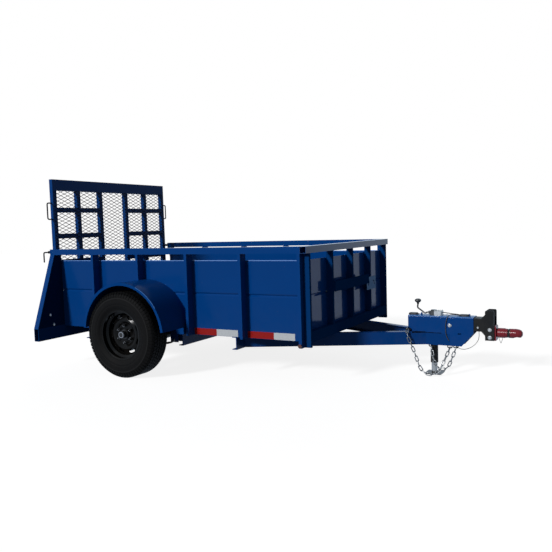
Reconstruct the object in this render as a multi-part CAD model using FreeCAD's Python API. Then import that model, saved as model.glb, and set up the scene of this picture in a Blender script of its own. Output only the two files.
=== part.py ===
import FreeCAD, Part
import math
import os

# Single-axle utility trailer with solid steel sides, a lattice ramp gate at the
# rear and a braked A-frame tongue, parked level on its tongue jack.
# Millimetres. +X points forward to the coupler, +Y to the left side of the
# trailer, +Z up. The floor is z = 0 and the origin lies on it, in the middle of
# the overall length and width.

V = FreeCAD.Vector
UP = V(0, 0, 1)
FORWARD = V(1, 0, 0)
LEFT = V(0, 1, 0)

# Box: rails, posts and panels
BOX_WIDTH = 1700.0          # over the outer faces of the top rails
RAIL = 50.0                 # square top rail tube
RAIL_WALL = 3.0
RAIL_TOP = 1022.0           # height of the top rails above the floor
POST_PITCH = 497.0          # from one side post to the next
POST_COUNT = 5
POST_DEPTH = 76.0           # how far a side post stands out from the panel
POST_WIDTH = 25.0
CORNER_DROP = 36.0          # how far the corner posts reach below the sills
FRONT_POST_INSET = 60.0     # from each side to the middle of the outer front posts
FRONT_POST_COUNT = 5
CARRIER_UP = 330.0          # the carrier's bar above the underside of the sills
CARRIER_THICK = 6.0
CARRIER_PLATE_HALF = 105.0
CARRIER_PLATE_DOWN = 60.0
CARRIER_PLATE_UP = 50.0
CARRIER_SLOT_OUT = 62.0
CARRIER_SLOT_LEAN = 35.0    # degrees from upright, the two slots in a V
CARRIER_SLOT_HALF = 16.0
CARRIER_SLOT_RADIUS = 9.0
REAR_BAY = 467.0            # from the last post's front face to the rear frame
PANEL_THICK = 2.0
PANEL_GAP = 51.0            # open slot between the top rail and the panel
PANEL_UP = 591.0            # height of the panels above the underside of the sills
CREASE_UP = 327.0           # height of the crease above the underside of the sills
CREASE_DEPTH = 8.0
CREASE_HALF = 12.0

# Floor frame
FRAME_LOW = 230.0           # underside of tongue beams and crossmembers
BEAM_HEIGHT = 100.0
CHANNEL_WEB = 6.0
CHANNEL_FLANGE = 40.0
SILL_HEIGHT = 76.0
SILL_WIDTH = 50.0
SILL_WALL = 4.0
CROSS_FIRST = 652.0         # from the box's front face to the first crossmember
CROSS_PITCH = 515.0
CROSS_COUNT = 4
CROSS_LOW_INDEX = 2         # the shallow crossmember that passes over the springs
CROSS_LOW_HEIGHT = 50.0
PLANK_THICK = 38.0
PLANK_COUNT = 8
PLANK_GAP = 6.0
REAR_BEAM_DEPTH = 55.0
REAR_BEAM_HEIGHT = 110.0
REAR_BEAM_OVER = 222.0      # how far the rear beam stands out past the rails
REAR_BEAM_WALL = 5.0
BRACE = 50.0
BRACE_WALL = 3.0
GUSSET_THICK = 5.0

# Tongue
TONGUE_ANGLE = 25.0         # each beam from the centre line, degrees
TONGUE_FLANGE = 50.0
NOSE_WIDTH = 120.0          # over the sides of the actuator's case
NOSE_START = 476.0          # from the box's front face to the case's rear end
NOSE_LENGTH = 496.0
CASE_REAR_LENGTH = 139.0    # the shallow part of the case that sits on the beams
NOSE_TOP = 452.0
CASE_WALL = 5.0
NOSE_TOE = 88.0             # run of the sloped lower front end
CASE_FOLD = 10.0            # outer radius of the folds along the case's top
CASE_SLOT_BACK = 102.0      # from the case's front end back to the slot in each side
CASE_SLOT_DROP = 128.0
CASE_SLOT_HALF = 9.0
CASE_SLOT_RADIUS = 4.0
CAP_PLACES = (28.0, 419.0)  # middles of the two oval caps, ahead of the case's rear end
CAP_HALF = 14.0
CAP_RADIUS = 25.0
CAP_HEIGHT = 13.0
CAP_STEP = 5.0

# Coupler
SLIDE_LENGTH = 82.0
SLIDE_JACK_GAP = 30.4       # from the jack's tube forward to the slide's rear end
SLIDE_LOW = 349.0
SLIDE_WALL = 6.0
SLIDE_CLEARANCE = 0.3
FLARE_LENGTH = 26.0         # the slide's side plates widen to the channel
FLARE_HEIGHT = 30.0
CHANNEL_LENGTH = 64.0
CHANNEL_WIDTH = 108.0
CHANNEL_LOW = 285.0
CHANNEL_HIGH = 507.0
CHANNEL_WALL = 10.0
COUPLER_AXIS_Z = 339.0
COUPLER_PAD_OUT = 12.0      # how far the casting stands out of the channel
COUPLER_PAD_LOW = 285.0
COUPLER_PAD_HIGH = 388.0
COUPLER_LUG_RADIUS = 13.0
COUPLER_LUG_BORE = 6.0
NECK_DROP = 8.0             # the neck is this much thinner than the head
CHANNEL_CORNER = 12.0
COLLAR_LENGTH = 70.0
COLLAR_RADIUS = 36.0
COLLAR_RING = 16.0
HEAD_LENGTH = 104.0
HEAD_START = ((5.0, 0.0), (1.0, 14.0))     # under the head's radius, and ahead of its start
HEAD_NOSE = ((0.0, 44.0), (3.0, 24.0), (10.0, 9.0), (22.0, 0.0))   # under the radius, and back from the tip
HEAD_RADIUS = 35.0
BALL_RADIUS = 25.4
BALL_CLEARANCE = 0.4
BALL_SETBACK = 40.0         # from the head's tip to the ball's centre line

# Axle and running gear
HUB_BACK = 1545.0           # from the box's front face to the axle
TYRE_RADIUS = 345.0
TYRE_WIDTH = 205.0
RIM_SEAT_RADIUS = 190.5
RIM_FLANGE_RADIUS = 205.0
RIM_WALL = 4.0
RIM_FLANGE_THICK = 8.0
RIM_FACE = 86.0             # from the rim's middle to the outer face of each flange
RIM_RAMP = 46.0             # from the middle to where the well's slope starts
RIM_WELL_DROP = 18.0
RIM_WELL_HALF = 34.0
DISC_THICK = 6.0
DISC_MOUNT = 9.0            # the disc's mounting face, outward of the rim's middle
DISC_FLAT_RADIUS = 84.0
DISC_RISE_RADIUS = 104.0
DISC_RISE = 15.0
DISC_CROWN_RADIUS = 120.0
DISC_CROWN = 17.0
DISC_WELD_OUT = 8.0
WINDOW_COUNT = 8
WINDOW_IN = 30.5            # from the rim's well in to the middle of the windows
WINDOW_HALF = 15.0
WINDOW_RADIUS = 15.0
BEAD_CLEARANCE = 0.3
BEAD_HEEL = 1.0             # the sidewall starts this far outside the rim's flange
SIDEWALL_DROP = 85.0        # from the tread in to the tyre's widest point
SHOULDER_DROP = 20.0
SHOULDER_IN = 12.0          # from the tyre's widest point in to the shoulder
TREAD_IN = 24.0             # from the tyre's widest point in to the tread's edge
WHEEL_STAND_OFF = 126.0     # from the side panel out to the tyre
DRUM_ROOM = 28.5            # from the rim's well in to the brake drum
DRUM_DEPTH = 72.0
DRUM_WALL = 8.0
DRUM_HUB_START = 6.0
HUB_RADIUS = 38.0
HUB_STEP = 26.0             # from the wheel's mounting face to the step of the hub
HUB_CAP_RADIUS = 30.0
HUB_CAP_END = 67.0
HUB_CAP_ROUND = 6.0
SPINDLE_REACH = 48.0        # from the wheel's mounting face to the spindle's end
SEAT_GAP = 0.3              # between pieces that lie against one another
STUD_COUNT = 6
STUD_CIRCLE = 69.9
STUD_RADIUS = 6.5
NUT_FLATS = 19.0            # across the flats of a wheel nut
NUT_LENGTH = 22.0
NUT_CAP_LENGTH = 12.0
NUT_CAP_RADIUS = 8.5
NUT_TIP_RADIUS = 4.0
SPINDLE_RADIUS = 19.0
SPINDLE_FIT = 0.1
AXLE_TUBE_RADIUS = 30.0
AXLE_TUBE_Z = 258.0
BACKING_INSET = 8.0         # from the drum in to the edge of its backing plate
BACKING_THICK = 5.0
RUNNING_GAP = 5.0
SPRING_EYE_SPAN = 295.0     # from the axle to each spring eye
SPRING_EYE_RADIUS = 15.0
SPRING_BOLT_RADIUS = 7.0
SPRING_WIDTH = 45.0
SPRING_LEAF = 7.0
SPRING_LEAVES = 4
SPRING_STEP = 0.22          # share of the half length by which each leaf is shorter
SPRING_EYE_SINK = 2.0
SPRING_EYE_Z = 270.0
HANGER_LENGTH = 76.0
HANGER_WALL = 6.0
CLAMP_LENGTH = 110.0        # the plate under each spring
CLAMP_WIDTH = 76.0
CLAMP_THICK = 9.0
CLAMP_ROD = 6.0
CLAMP_TAIL = 20.0

# Fenders
FENDER_CENTRE_BACK = 1505.0
FENDER_CENTRE_Z = 352.0
FENDER_ROOM = 67.0          # how much larger the fender's radius is than the tyre's
FENDER_OVERHANG = 5.0       # how far the fenders reach out past the tyres
FENDER_THICK = 3.0
FENDER_LIP = 22.0
FENDER_CUT_Z = 392.0        # height of the fender's two lower ends
FENDER_TAB_WIDTH = 72.0
FENDER_TAB_REACH = 76.0     # from the side panel out to the tab's plate
FENDER_TAB_THICK = 5.0
FENDER_TAB_UP = 8.0         # the tab's lower edge above the underside of the sill

# Ramp gate
GATE_INSET = 75.0           # from the rails' outer face in to the gate's edge
GATE_BASE = 344.0
GATE_TOP = 1650.0
GATE_BAR = 45.0
GATE_DEPTH = 38.0
GATE_TOP_BAR = 100.0
GATE_WALL = 4.0
GATE_GAP = 5.0              # from the rear face of the frame to the gate
GATE_INNER = 180.0          # from the centre line to the inner upright
GATE_OUTER = 467.0
GATE_ROW_DROP = 275.0       # from the gate's top down to the first row
GATE_ROW_PITCH = 237.0
GATE_ROWS = 5
MESH_THICK = 4.0
MESH_LONG = 160.0
MESH_SHORT = 80.0
MESH_STRAND = 8.0
MESH_EDGE = 12.0
HINGE_Z = 302.0
HINGE_BACK = 38.0           # from the rear face of the frame to the hinge line
HINGE_PIN_RADIUS = 10.0
HINGE_TUBE_RADIUS = 16.0
HINGE_FIT = 0.1
HINGE_LENGTH = 60.0
HINGE_INSET = 85.0          # from the gate's edge in to the middle of the outer hinges
HANDLE_ROD = 6.0
HANDLE_OUT = 52.0
HANDLE_LIFT = 41.0          # from midway between latches and gate top up to the handles' middle
HANDLE_LENGTH = 145.0
HANDLE_BEND = 14.0
LATCH_UP = 997.0            # height of the latch pins
LATCH_BACK = 26.0           # from the rear face of the rails to the pin's centre line
LATCH_TUBE_RADIUS = 12.0
LATCH_PIN_RADIUS = 6.0
LATCH_FIT = 0.3
LATCH_EDGE = 14.0           # from the gate's edge to the drawn-back pin
LATCH_TUBE_LENGTH = 52.0
LATCH_OUT = 46.0            # the pin's reach beyond the rail's side
LATCH_DROP = 88.0           # length of the pin's bent handle
LATCH_BEND = 12.0

# Jack
JACK_AHEAD = 663.0         # from the box's front face to the jack
JACK_OUTER_RADIUS = 28.6
JACK_OUTER_WALL = 3.2
JACK_OUTER_LOW = 85.0
JACK_LEG_RADIUS = 22.2
JACK_LEG_WALL = 3.0
JACK_LEG_TOP = 300.0
JACK_GUIDE = 20.0
JACK_CLEARANCE = 0.3
FOOT_SIZE = 127.0
FOOT_THICK = 6.0
HEAD_BOX_LENGTH = 96.0
HEAD_BOX_WIDTH = 64.0
HEAD_BOX_HEIGHT = 34.0
HEAD_BOX_CORNER = 12.0
HEAD_LID_RADIUS = 22.0
HEAD_LID_HEIGHT = 7.0
CRANK_BOSS_RADIUS = 12.0
CRANK_BOSS_LENGTH = 12.0
CRANK_ROD = 6.0
CRANK_BEND = 12.0
CRANK_UP = 20.0             # the crank's shaft above the top of the case
CRANK_STEPS = ((0.0, 0.0), (-10.0, 0.0), (-30.0, -8.0), (-88.0, 34.0), (-84.0, 62.0))
KNOB = ((0.0, 0.0), (9.0, 0.0), (9.0, 9.0), (20.0, 16.0), (25.0, 25.0), (23.0, 34.0), (13.0, 40.0), (0.0, 42.0))
FOOT_CORNER = 10.0

# Safety chains and cables
LINK_LENGTH = 52.0
LINK_WIDTH = 27.0
LINK_WIRE = 6.4
LINK_SLACK = 0.95            # play between two links that hang on one another
LINK_SIDES = 5
LINK_TIP = 0.62             # half width of a link's flat tip, as a share of its half width
EYE_ROD = 4.0
EYE_HALF = 16.0             # half width of a chain eye
EYE_BEND = 6.0
CABLE_RADIUS = 2.0
LEAD_RADIUS = 2.5
ARC_SHARE = 0.45            # share of a run that a cable's bend takes up at each end

# Lamps and tape
TAPE_THICK = 0.6
TAPE_LOW_UP = 9.0
TAPE_HEIGHT = 55.0
LAMP_RADIUS = 14.0
LAMP_THICK = 12.0
TAIL_LAMP_RADIUS = 50.0
TAIL_LAMP_THICK = 28.0
TAIL_LAMP_UP = 80.0         # from the rear beam's top to the lamp's middle
TAPE_RED_SHARE = 0.55       # the rear share of each strip, which is red

# Routes forward of the box's front face: the chains' centre lines and the cables' corners
CHAIN_ROUTES = (
    ((480.0, -72.0, 352.0), (483.0, -98.0, 352.0), (488.0, -126.0, 342.0), (495.0, -143.0, 316.0),
     (506.0, -144.0, 278.0), (522.0, -141.0, 240.0), (540.0, -140.0, 200.0), (556.0, -142.0, 159.0),
     (573.0, -146.0, 115.0), (590.0, -150.0, 72.0), (614.0, -151.0, 40.0), (648.0, -152.0, 22.0),
     (684.0, -150.0, 20.0), (714.0, -147.0, 30.0), (737.0, -140.0, 52.0), (753.0, -130.0, 82.0),
     (766.0, -118.0, 118.0), (779.0, -101.0, 154.0), (790.0, -81.0, 188.0), (800.0, -58.0, 222.0)),
    ((655.0, -58.0, 222.0), (661.0, -63.0, 184.0), (672.0, -74.0, 142.0), (686.0, -86.0, 104.0),
     (704.0, -91.0, 74.0), (730.0, -92.0, 55.0), (762.0, -90.0, 52.0), (788.0, -86.0, 72.0),
     (805.0, -80.0, 106.0), (819.0, -73.0, 146.0), (833.0, -65.0, 186.0), (844.0, -58.0, 224.0)),
)
CABLE_ROUTE = ((1006.0, -30.0, 349.0), (1009.0, -30.0, 312.0), (998.0, -30.0, 272.0), (970.0, -30.0, 238.0),
               (934.0, -30.0, 214.0), (893.0, -32.0, 203.0), (855.0, -40.0, 212.0), (830.0, -52.5, 240.0))
LEAD_ROUTE = ((855.7, 0.0, 456.0), (824.0, -14.0, 463.0), (790.0, -58.0, 466.0), (774.0, -68.0, 430.0),
              (768.0, -68.0, 385.0), (768.0, -68.0, 340.0), (774.0, -68.0, 300.0), (792.0, -63.0, 268.0))

# Places worked out from the sizes above
SIDE = BOX_WIDTH / 2.0
PANEL_Y = SIDE - POST_DEPTH                     # outer face of the side panels
SILL_LOW = FRAME_LOW + BEAM_HEIGHT
REAR_REACH = RAIL + (POST_COUNT - 1) * POST_PITCH + REAR_BAY + BRACE
GATE_REACH = REAR_REACH + GATE_GAP + GATE_DEPTH + MESH_THICK
HINGE_REACH = REAR_REACH + HINGE_BACK + HINGE_TUBE_RADIUS
COUPLER_START = NOSE_START + NOSE_LENGTH + SLIDE_LENGTH + CHANNEL_LENGTH
NOSE_REACH = COUPLER_START + COLLAR_LENGTH + COLLAR_RING + HEAD_LENGTH
FRONT_X = (max(GATE_REACH, HINGE_REACH) - NOSE_REACH) / 2.0     # front face of the box
PANEL_TOP = SILL_LOW + PANEL_UP
CREASE_Z = SILL_LOW + CREASE_UP
REAR_X = FRONT_X - REAR_REACH                   # rear face of the frame
AXLE_X = FRONT_X - HUB_BACK
AXLE_Z = TYRE_RADIUS
WHEEL_Y = PANEL_Y + WHEEL_STAND_OFF + TYRE_WIDTH / 2.0
FENDER_RADIUS = TYRE_RADIUS + FENDER_ROOM
FENDER_OUT = WHEEL_Y + TYRE_WIDTH / 2.0 + FENDER_OVERHANG
REAR_BEAM_REACH = SIDE + REAR_BEAM_OVER         # half length of the rear beam
GATE_WIDTH = BOX_WIDTH - 2.0 * GATE_INSET
HINGE_OFFSET = GATE_WIDTH / 2.0 - HINGE_INSET
FRONT_POST_PITCH = (BOX_WIDTH - 2.0 * FRONT_POST_INSET) / (FRONT_POST_COUNT - 1)
MOUNT_FACE = WHEEL_Y + DISC_MOUNT               # the face of the hub that carries the disc
DRUM_BACK = MOUNT_FACE - DRUM_DEPTH
DRUM_RADIUS = RIM_SEAT_RADIUS - RIM_WELL_DROP - RIM_WALL - DRUM_ROOM
BACKING_RADIUS = DRUM_RADIUS - BACKING_INSET
JACK_X = FRONT_X + JACK_AHEAD
NOSE_X = FRONT_X + NOSE_START
NOSE_END = NOSE_X + NOSE_LENGTH
HINGE_X = REAR_X - HINGE_BACK
GATE_FRONT = REAR_X - GATE_GAP
RAIL_LOW = RAIL_TOP - RAIL
HANDLE_MIDDLE = (GATE_TOP + LATCH_UP) / 2.0 + HANDLE_LIFT
HANDLE_HIGH = HANDLE_MIDDLE + HANDLE_LENGTH / 2.0
HANDLE_LOW = HANDLE_MIDDLE - HANDLE_LENGTH / 2.0
GATE_ROW_TOP = GATE_TOP - GATE_ROW_DROP


def box(x0, y0, z0, x1, y1, z1):
    """A box between two corners."""
    return Part.makeBox(x1 - x0, y1 - y0, z1 - z0, V(x0, y0, z0))


def prism(points, direction):
    """A flat outline pushed along a direction."""
    corners = [V(*point) for point in points]
    return Part.Face(Part.makePolygon(corners + corners[:1])).extrude(direction)


def left_copy(shape):
    """The same piece on the trailer's left side."""
    return shape.mirror(V(0, 0, 0), LEFT)


def both_sides(shape):
    """A right-hand piece together with its left-hand twin."""
    return Part.makeCompound([shape, left_copy(shape)])


def rod(start, end, radius):
    """A round bar between two points."""
    start, end = V(*start), V(*end)
    return Part.makeCylinder(radius, (end - start).Length, start, end - start)


def turned(profile, centre, axis):
    """A ring turned about an axis from (radius, distance along the axis) points."""
    across = UP if abs(axis.z) < 0.5 else FORWARD
    corners = [centre + across * r + axis * a for r, a in profile]
    face = Part.Face(Part.makePolygon(corners + corners[:1]))
    return face.revolve(centre, axis, 360)


def slot_plug(middle, along, axis, half, radius, depth):
    """A long plug with round ends: for ovals, and for cutting slots and windows."""
    side = axis.cross(along)
    back = middle - along * half
    front = middle + along * half
    edges = [Part.makeLine(back + side * radius, front + side * radius),
             Part.Arc(front + side * radius, front + along * radius, front - side * radius).toShape(),
             Part.makeLine(front - side * radius, back - side * radius),
             Part.Arc(back - side * radius, back - along * radius, back + side * radius).toShape()]
    return Part.Face(Part.Wire(edges)).extrude(axis * depth)


def bent_rod(points, radius, bend=None):
    """A round bar or cable: straight runs joined by tangent arcs."""
    points = [V(*point) for point in points]
    edges = []
    start = points[0]
    tightest = None
    for before, corner, after in zip(points, points[1:], points[2:]):
        into = (corner - before).normalize()
        out = (after - corner).normalize()
        half_turn = into.getAngle(out) / 2.0
        run = min((corner - before).Length, (after - corner).Length)
        arc_radius = bend or ARC_SHARE * run / math.tan(half_turn)
        reach = arc_radius * math.tan(half_turn)
        inward = (out - into).normalize()
        first = corner - into * reach
        last = corner + out * reach
        middle = corner + inward * (arc_radius / math.cos(half_turn) - arc_radius)
        edges.append(Part.makeLine(start, first))
        edges.append(Part.Arc(first, middle, last).toShape())
        start = last
        tightest = min(arc_radius, tightest or arc_radius)
    edges.append(Part.makeLine(start, points[-1]))
    ring = Part.Wire(Part.makeCircle(radius, points[0], points[1] - points[0]))
    solid = Part.Wire(edges).makePipeShell([ring], True, False)
    return solid, tightest


def square_tube(x0, y0, z0, x1, y1, z1, wall, along):
    """A square tube, open at both ends, that runs along one axis."""
    outer = box(x0, y0, z0, x1, y1, z1)
    low = [x0 + wall, y0 + wall, z0 + wall]
    high = [x1 - wall, y1 - wall, z1 - wall]
    index = "xyz".index(along)
    low[index] = (x0, y0, z0)[index]
    high[index] = (x1, y1, z1)[index]
    return outer.cut(box(*low, *high))


def channel_across(x_front, low, high, reach):
    """A crossmember: a channel with its web to the front and its flanges to the rear."""
    x_back = x_front - CHANNEL_FLANGE
    outer = box(x_back, -reach, low, x_front, reach, high)
    inner = box(x_back, -reach, low + CHANNEL_WEB, x_front - CHANNEL_WEB, reach, high - CHANNEL_WEB)
    return outer.cut(inner)


def post_face(index):
    """Front face of a side post, counted from the front corner."""
    return FRONT_X - RAIL - index * POST_PITCH


# Floor frame

def crossmembers():
    pieces = []
    for index in range(CROSS_COUNT):
        x_front = FRONT_X - CROSS_FIRST - index * CROSS_PITCH
        low = SILL_LOW - CROSS_LOW_HEIGHT if index == CROSS_LOW_INDEX else FRAME_LOW
        pieces.append(channel_across(x_front, low, SILL_LOW, PANEL_Y))
    return Part.makeCompound(pieces)


def side_sills():
    inner = PANEL_Y - PANEL_THICK
    sill = square_tube(REAR_X + REAR_BEAM_DEPTH, -inner, SILL_LOW, FRONT_X - RAIL,
                       SILL_WIDTH - inner, SILL_LOW + SILL_HEIGHT, SILL_WALL, "x")
    return both_sides(sill)


def front_sill():
    reach = PANEL_Y - PANEL_THICK
    back = FRONT_X - RAIL
    return square_tube(back, -reach, SILL_LOW, back + RAIL - PANEL_THICK,
                       reach, SILL_LOW + SILL_HEIGHT, SILL_WALL, "y")


def rear_beam():
    return square_tube(REAR_X, -REAR_BEAM_REACH, FRAME_LOW, REAR_X + REAR_BEAM_DEPTH,
                       REAR_BEAM_REACH, FRAME_LOW + REAR_BEAM_HEIGHT, REAR_BEAM_WALL, "y")


def tongue_beams():
    """Two channels that run from the first crossmember to the actuator's case."""
    lean = math.tan(math.radians(TONGUE_ANGLE))
    thick = TONGUE_FLANGE / math.cos(math.radians(TONGUE_ANGLE))
    x_back = FRONT_X - CROSS_FIRST
    half = NOSE_WIDTH / 2.0
    x_tip = NOSE_X + CASE_REAR_LENGTH
    y_back = half + (x_tip - x_back) * lean
    outline = [(x_back, -y_back, FRAME_LOW), (x_tip, -half, FRAME_LOW),
               (x_tip, thick - half, FRAME_LOW), (x_back, thick - y_back, FRAME_LOW)]
    solid = prism(outline, UP * BEAM_HEIGHT)
    web = CHANNEL_WEB / math.cos(math.radians(TONGUE_ANGLE))
    hollow = [(x_back - 1.0, web - y_back - lean, FRAME_LOW + CHANNEL_WEB),
              (x_tip + 1.0, web - half + lean, FRAME_LOW + CHANNEL_WEB),
              (x_tip + 1.0, thick, FRAME_LOW + CHANNEL_WEB),
              (x_back - 1.0, thick * 2.0 - y_back, FRAME_LOW + CHANNEL_WEB)]
    beam = solid.cut(prism(hollow, UP * (BEAM_HEIGHT - 2.0 * CHANNEL_WEB)))
    return both_sides(beam)


def deck_planks():
    """Treated planks that run lengthwise between the sills."""
    inner = PANEL_Y - PANEL_THICK - SILL_WIDTH
    width = (2.0 * inner - (PLANK_COUNT + 1) * PLANK_GAP) / PLANK_COUNT
    x_back = REAR_X + REAR_BEAM_DEPTH
    planks = []
    for index in range(PLANK_COUNT):
        y0 = -inner + PLANK_GAP + index * (width + PLANK_GAP)
        planks.append(box(x_back, y0, SILL_LOW, FRONT_X - RAIL, y0 + width, SILL_LOW + PLANK_THICK))
    return Part.makeCompound(planks)


# Walls

def creased_sheet(outer, inner):
    """Outline across a wall panel: a flat sheet with one inward crease."""
    low = SILL_LOW
    return [(outer, low), (outer, CREASE_Z - CREASE_HALF),
            (outer - math.copysign(CREASE_DEPTH, outer), CREASE_Z),
            (outer, CREASE_Z + CREASE_HALF), (outer, PANEL_TOP),
            (inner, PANEL_TOP), (inner, CREASE_Z + CREASE_HALF),
            (inner - math.copysign(CREASE_DEPTH, outer), CREASE_Z),
            (inner, CREASE_Z - CREASE_HALF), (inner, low)]


def side_panels():
    x_back = REAR_X + REAR_BEAM_DEPTH
    outline = creased_sheet(-PANEL_Y, PANEL_THICK - PANEL_Y)
    points = [(x_back, y, z) for y, z in outline]
    return both_sides(prism(points, FORWARD * (FRONT_X - RAIL - x_back)))


def front_panel():
    reach = PANEL_Y - PANEL_THICK
    back = FRONT_X - RAIL
    points = [(back - PANEL_THICK, -reach, SILL_LOW + SILL_HEIGHT), (back, -reach, SILL_LOW + SILL_HEIGHT),
              (back, -reach, CREASE_Z - CREASE_HALF), (back - CREASE_DEPTH, -reach, CREASE_Z),
              (back, -reach, CREASE_Z + CREASE_HALF), (back, -reach, PANEL_TOP),
              (back - PANEL_THICK, -reach, PANEL_TOP),
              (back - PANEL_THICK, -reach, CREASE_Z + CREASE_HALF),
              (back - PANEL_THICK - CREASE_DEPTH, -reach, CREASE_Z),
              (back - PANEL_THICK, -reach, CREASE_Z - CREASE_HALF)]
    return prism(points, LEFT * (2.0 * reach)).cut(side_panels())


def side_posts():
    posts = []
    for index in range(POST_COUNT):
        low = SILL_LOW - CORNER_DROP if index == 0 else SILL_LOW
        face = post_face(index)
        posts.append(square_tube(face - POST_WIDTH, -SIDE, low, face, -PANEL_Y, RAIL_LOW,
                                 RAIL_WALL, "z"))
    return both_sides(Part.makeCompound(posts))


def front_posts():
    posts = []
    first = -(FRONT_POST_COUNT - 1) / 2.0
    for index in range(FRONT_POST_COUNT):
        middle = (first + index) * FRONT_POST_PITCH
        corner = index in (0, FRONT_POST_COUNT - 1)
        low = SILL_LOW - CORNER_DROP if corner else SILL_LOW + SILL_HEIGHT
        posts.append(square_tube(FRONT_X - RAIL, middle - POST_WIDTH / 2.0, low, FRONT_X,
                                 middle + POST_WIDTH / 2.0, RAIL_LOW, RAIL_WALL, "z"))
    return Part.makeCompound(posts)


def side_rails():
    rail = square_tube(REAR_X, -SIDE, RAIL_LOW, FRONT_X - RAIL, RAIL - SIDE, RAIL_TOP, RAIL_WALL, "x")
    return both_sides(rail)


def front_rail():
    return square_tube(FRONT_X - RAIL, -SIDE, RAIL_LOW, FRONT_X, SIDE, RAIL_TOP, RAIL_WALL, "y")


def rear_braces():
    """Tubes that lean out from under the rail ends to the ends of the rear beam."""
    foot = FRAME_LOW + REAR_BEAM_HEIGHT
    outline = [(REAR_X, -REAR_BEAM_REACH, foot), (REAR_X, BRACE - REAR_BEAM_REACH, foot),
               (REAR_X, BRACE - SIDE, RAIL_LOW), (REAR_X, -SIDE, RAIL_LOW)]
    solid = prism(outline, FORWARD * BRACE)
    wall = BRACE_WALL
    hollow = [(REAR_X + wall, wall - REAR_BEAM_REACH, foot),
              (REAR_X + wall, BRACE - wall - REAR_BEAM_REACH, foot),
              (REAR_X + wall, BRACE - wall - SIDE, RAIL_LOW), (REAR_X + wall, wall - SIDE, RAIL_LOW)]
    return both_sides(solid.cut(prism(hollow, FORWARD * (BRACE - 2.0 * wall))))


def rear_gussets():
    """Flat plates that close the space between each brace and the side panel."""
    foot = FRAME_LOW + REAR_BEAM_HEIGHT
    x0 = REAR_X + BRACE
    outline = [(x0, -REAR_BEAM_REACH, foot), (x0, -PANEL_Y, foot), (x0, -PANEL_Y, RAIL_LOW),
               (x0, -SIDE, RAIL_LOW)]
    return both_sides(prism(outline, FORWARD * GUSSET_THICK))


# Fenders

def fenders():
    """A rolled strip with a turned-down outer lip over each tyre, held by a tab at each end."""
    centre = V(FRONT_X - FENDER_CENTRE_BACK, -FENDER_OUT, FENDER_CENTRE_Z)
    width = FENDER_OUT - PANEL_Y
    inside = FENDER_RADIUS - FENDER_THICK
    strip = Part.makeCylinder(FENDER_RADIUS, width, centre, LEFT)
    strip = strip.cut(Part.makeCylinder(inside, width, centre, LEFT))
    lip = Part.makeCylinder(FENDER_RADIUS, FENDER_THICK, centre, LEFT)
    lip = lip.cut(Part.makeCylinder(FENDER_RADIUS - FENDER_LIP, FENDER_THICK, centre, LEFT))
    keep = box(centre.x - FENDER_RADIUS, -FENDER_OUT, FENDER_CUT_Z, centre.x + FENDER_RADIUS,
               -PANEL_Y, FENDER_CENTRE_Z + FENDER_RADIUS)
    fender = strip.fuse(lip).common(keep)
    end = math.sqrt(inside ** 2 - (FENDER_CUT_Z - FENDER_CENTRE_Z) ** 2)
    disc = Part.makeCylinder(FENDER_RADIUS, width, centre, LEFT)
    low = SILL_LOW + FENDER_TAB_UP
    high = FENDER_CUT_Z + FENDER_TAB_WIDTH
    plate_y = -PANEL_Y - FENDER_TAB_REACH
    for side in (-1, 1):
        edge = centre.x + side * end
        x0, x1 = sorted((edge, edge - side * FENDER_TAB_WIDTH))
        plate = box(x0, plate_y, low, x1, plate_y + FENDER_TAB_THICK, high)
        x0, x1 = sorted((edge, edge - side * FENDER_TAB_THICK))
        leg = box(x0, plate_y, low, x1, -PANEL_Y, high)
        fender = fender.fuse(plate.fuse(leg).common(disc))
    for index in range(POST_COUNT):
        face = post_face(index)
        fender = fender.cut(box(face - POST_WIDTH, -SIDE, SILL_LOW, face, -PANEL_Y, RAIL_LOW))
    return both_sides(fender)


# Axle and springs

def axle():
    """A drop axle: a low tube with upright ends that carry the spindles."""
    inner_face = DRUM_BACK - RUNNING_GAP - BACKING_THICK
    end_width = 2.0 * AXLE_TUBE_RADIUS * 0.7
    tube = Part.makeCylinder(AXLE_TUBE_RADIUS, 2.0 * (inner_face - end_width),
                             V(AXLE_X, end_width - inner_face, AXLE_TUBE_Z), LEFT)
    end = box(AXLE_X - AXLE_TUBE_RADIUS, -inner_face, AXLE_TUBE_Z, AXLE_X + AXLE_TUBE_RADIUS,
              end_width - inner_face, AXLE_Z)
    for z in (AXLE_TUBE_Z, AXLE_Z):
        end = end.fuse(Part.makeCylinder(AXLE_TUBE_RADIUS, end_width, V(AXLE_X, -inner_face, z), LEFT))
    reach = MOUNT_FACE + SPINDLE_REACH - inner_face
    spindle = Part.makeCylinder(SPINDLE_RADIUS, reach,
                                V(AXLE_X, -inner_face, AXLE_Z), LEFT * -1.0)
    side = end.fuse(spindle)
    return tube.fuse(side).fuse(left_copy(side))


def brake_backings():
    face = DRUM_BACK - RUNNING_GAP
    plate = Part.makeCylinder(BACKING_RADIUS, BACKING_THICK, V(AXLE_X, -face, AXLE_Z), LEFT)
    bore = Part.makeCylinder(SPINDLE_RADIUS + SPINDLE_FIT, BACKING_THICK, V(AXLE_X, -face, AXLE_Z), LEFT)
    return both_sides(plate.cut(bore))


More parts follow.
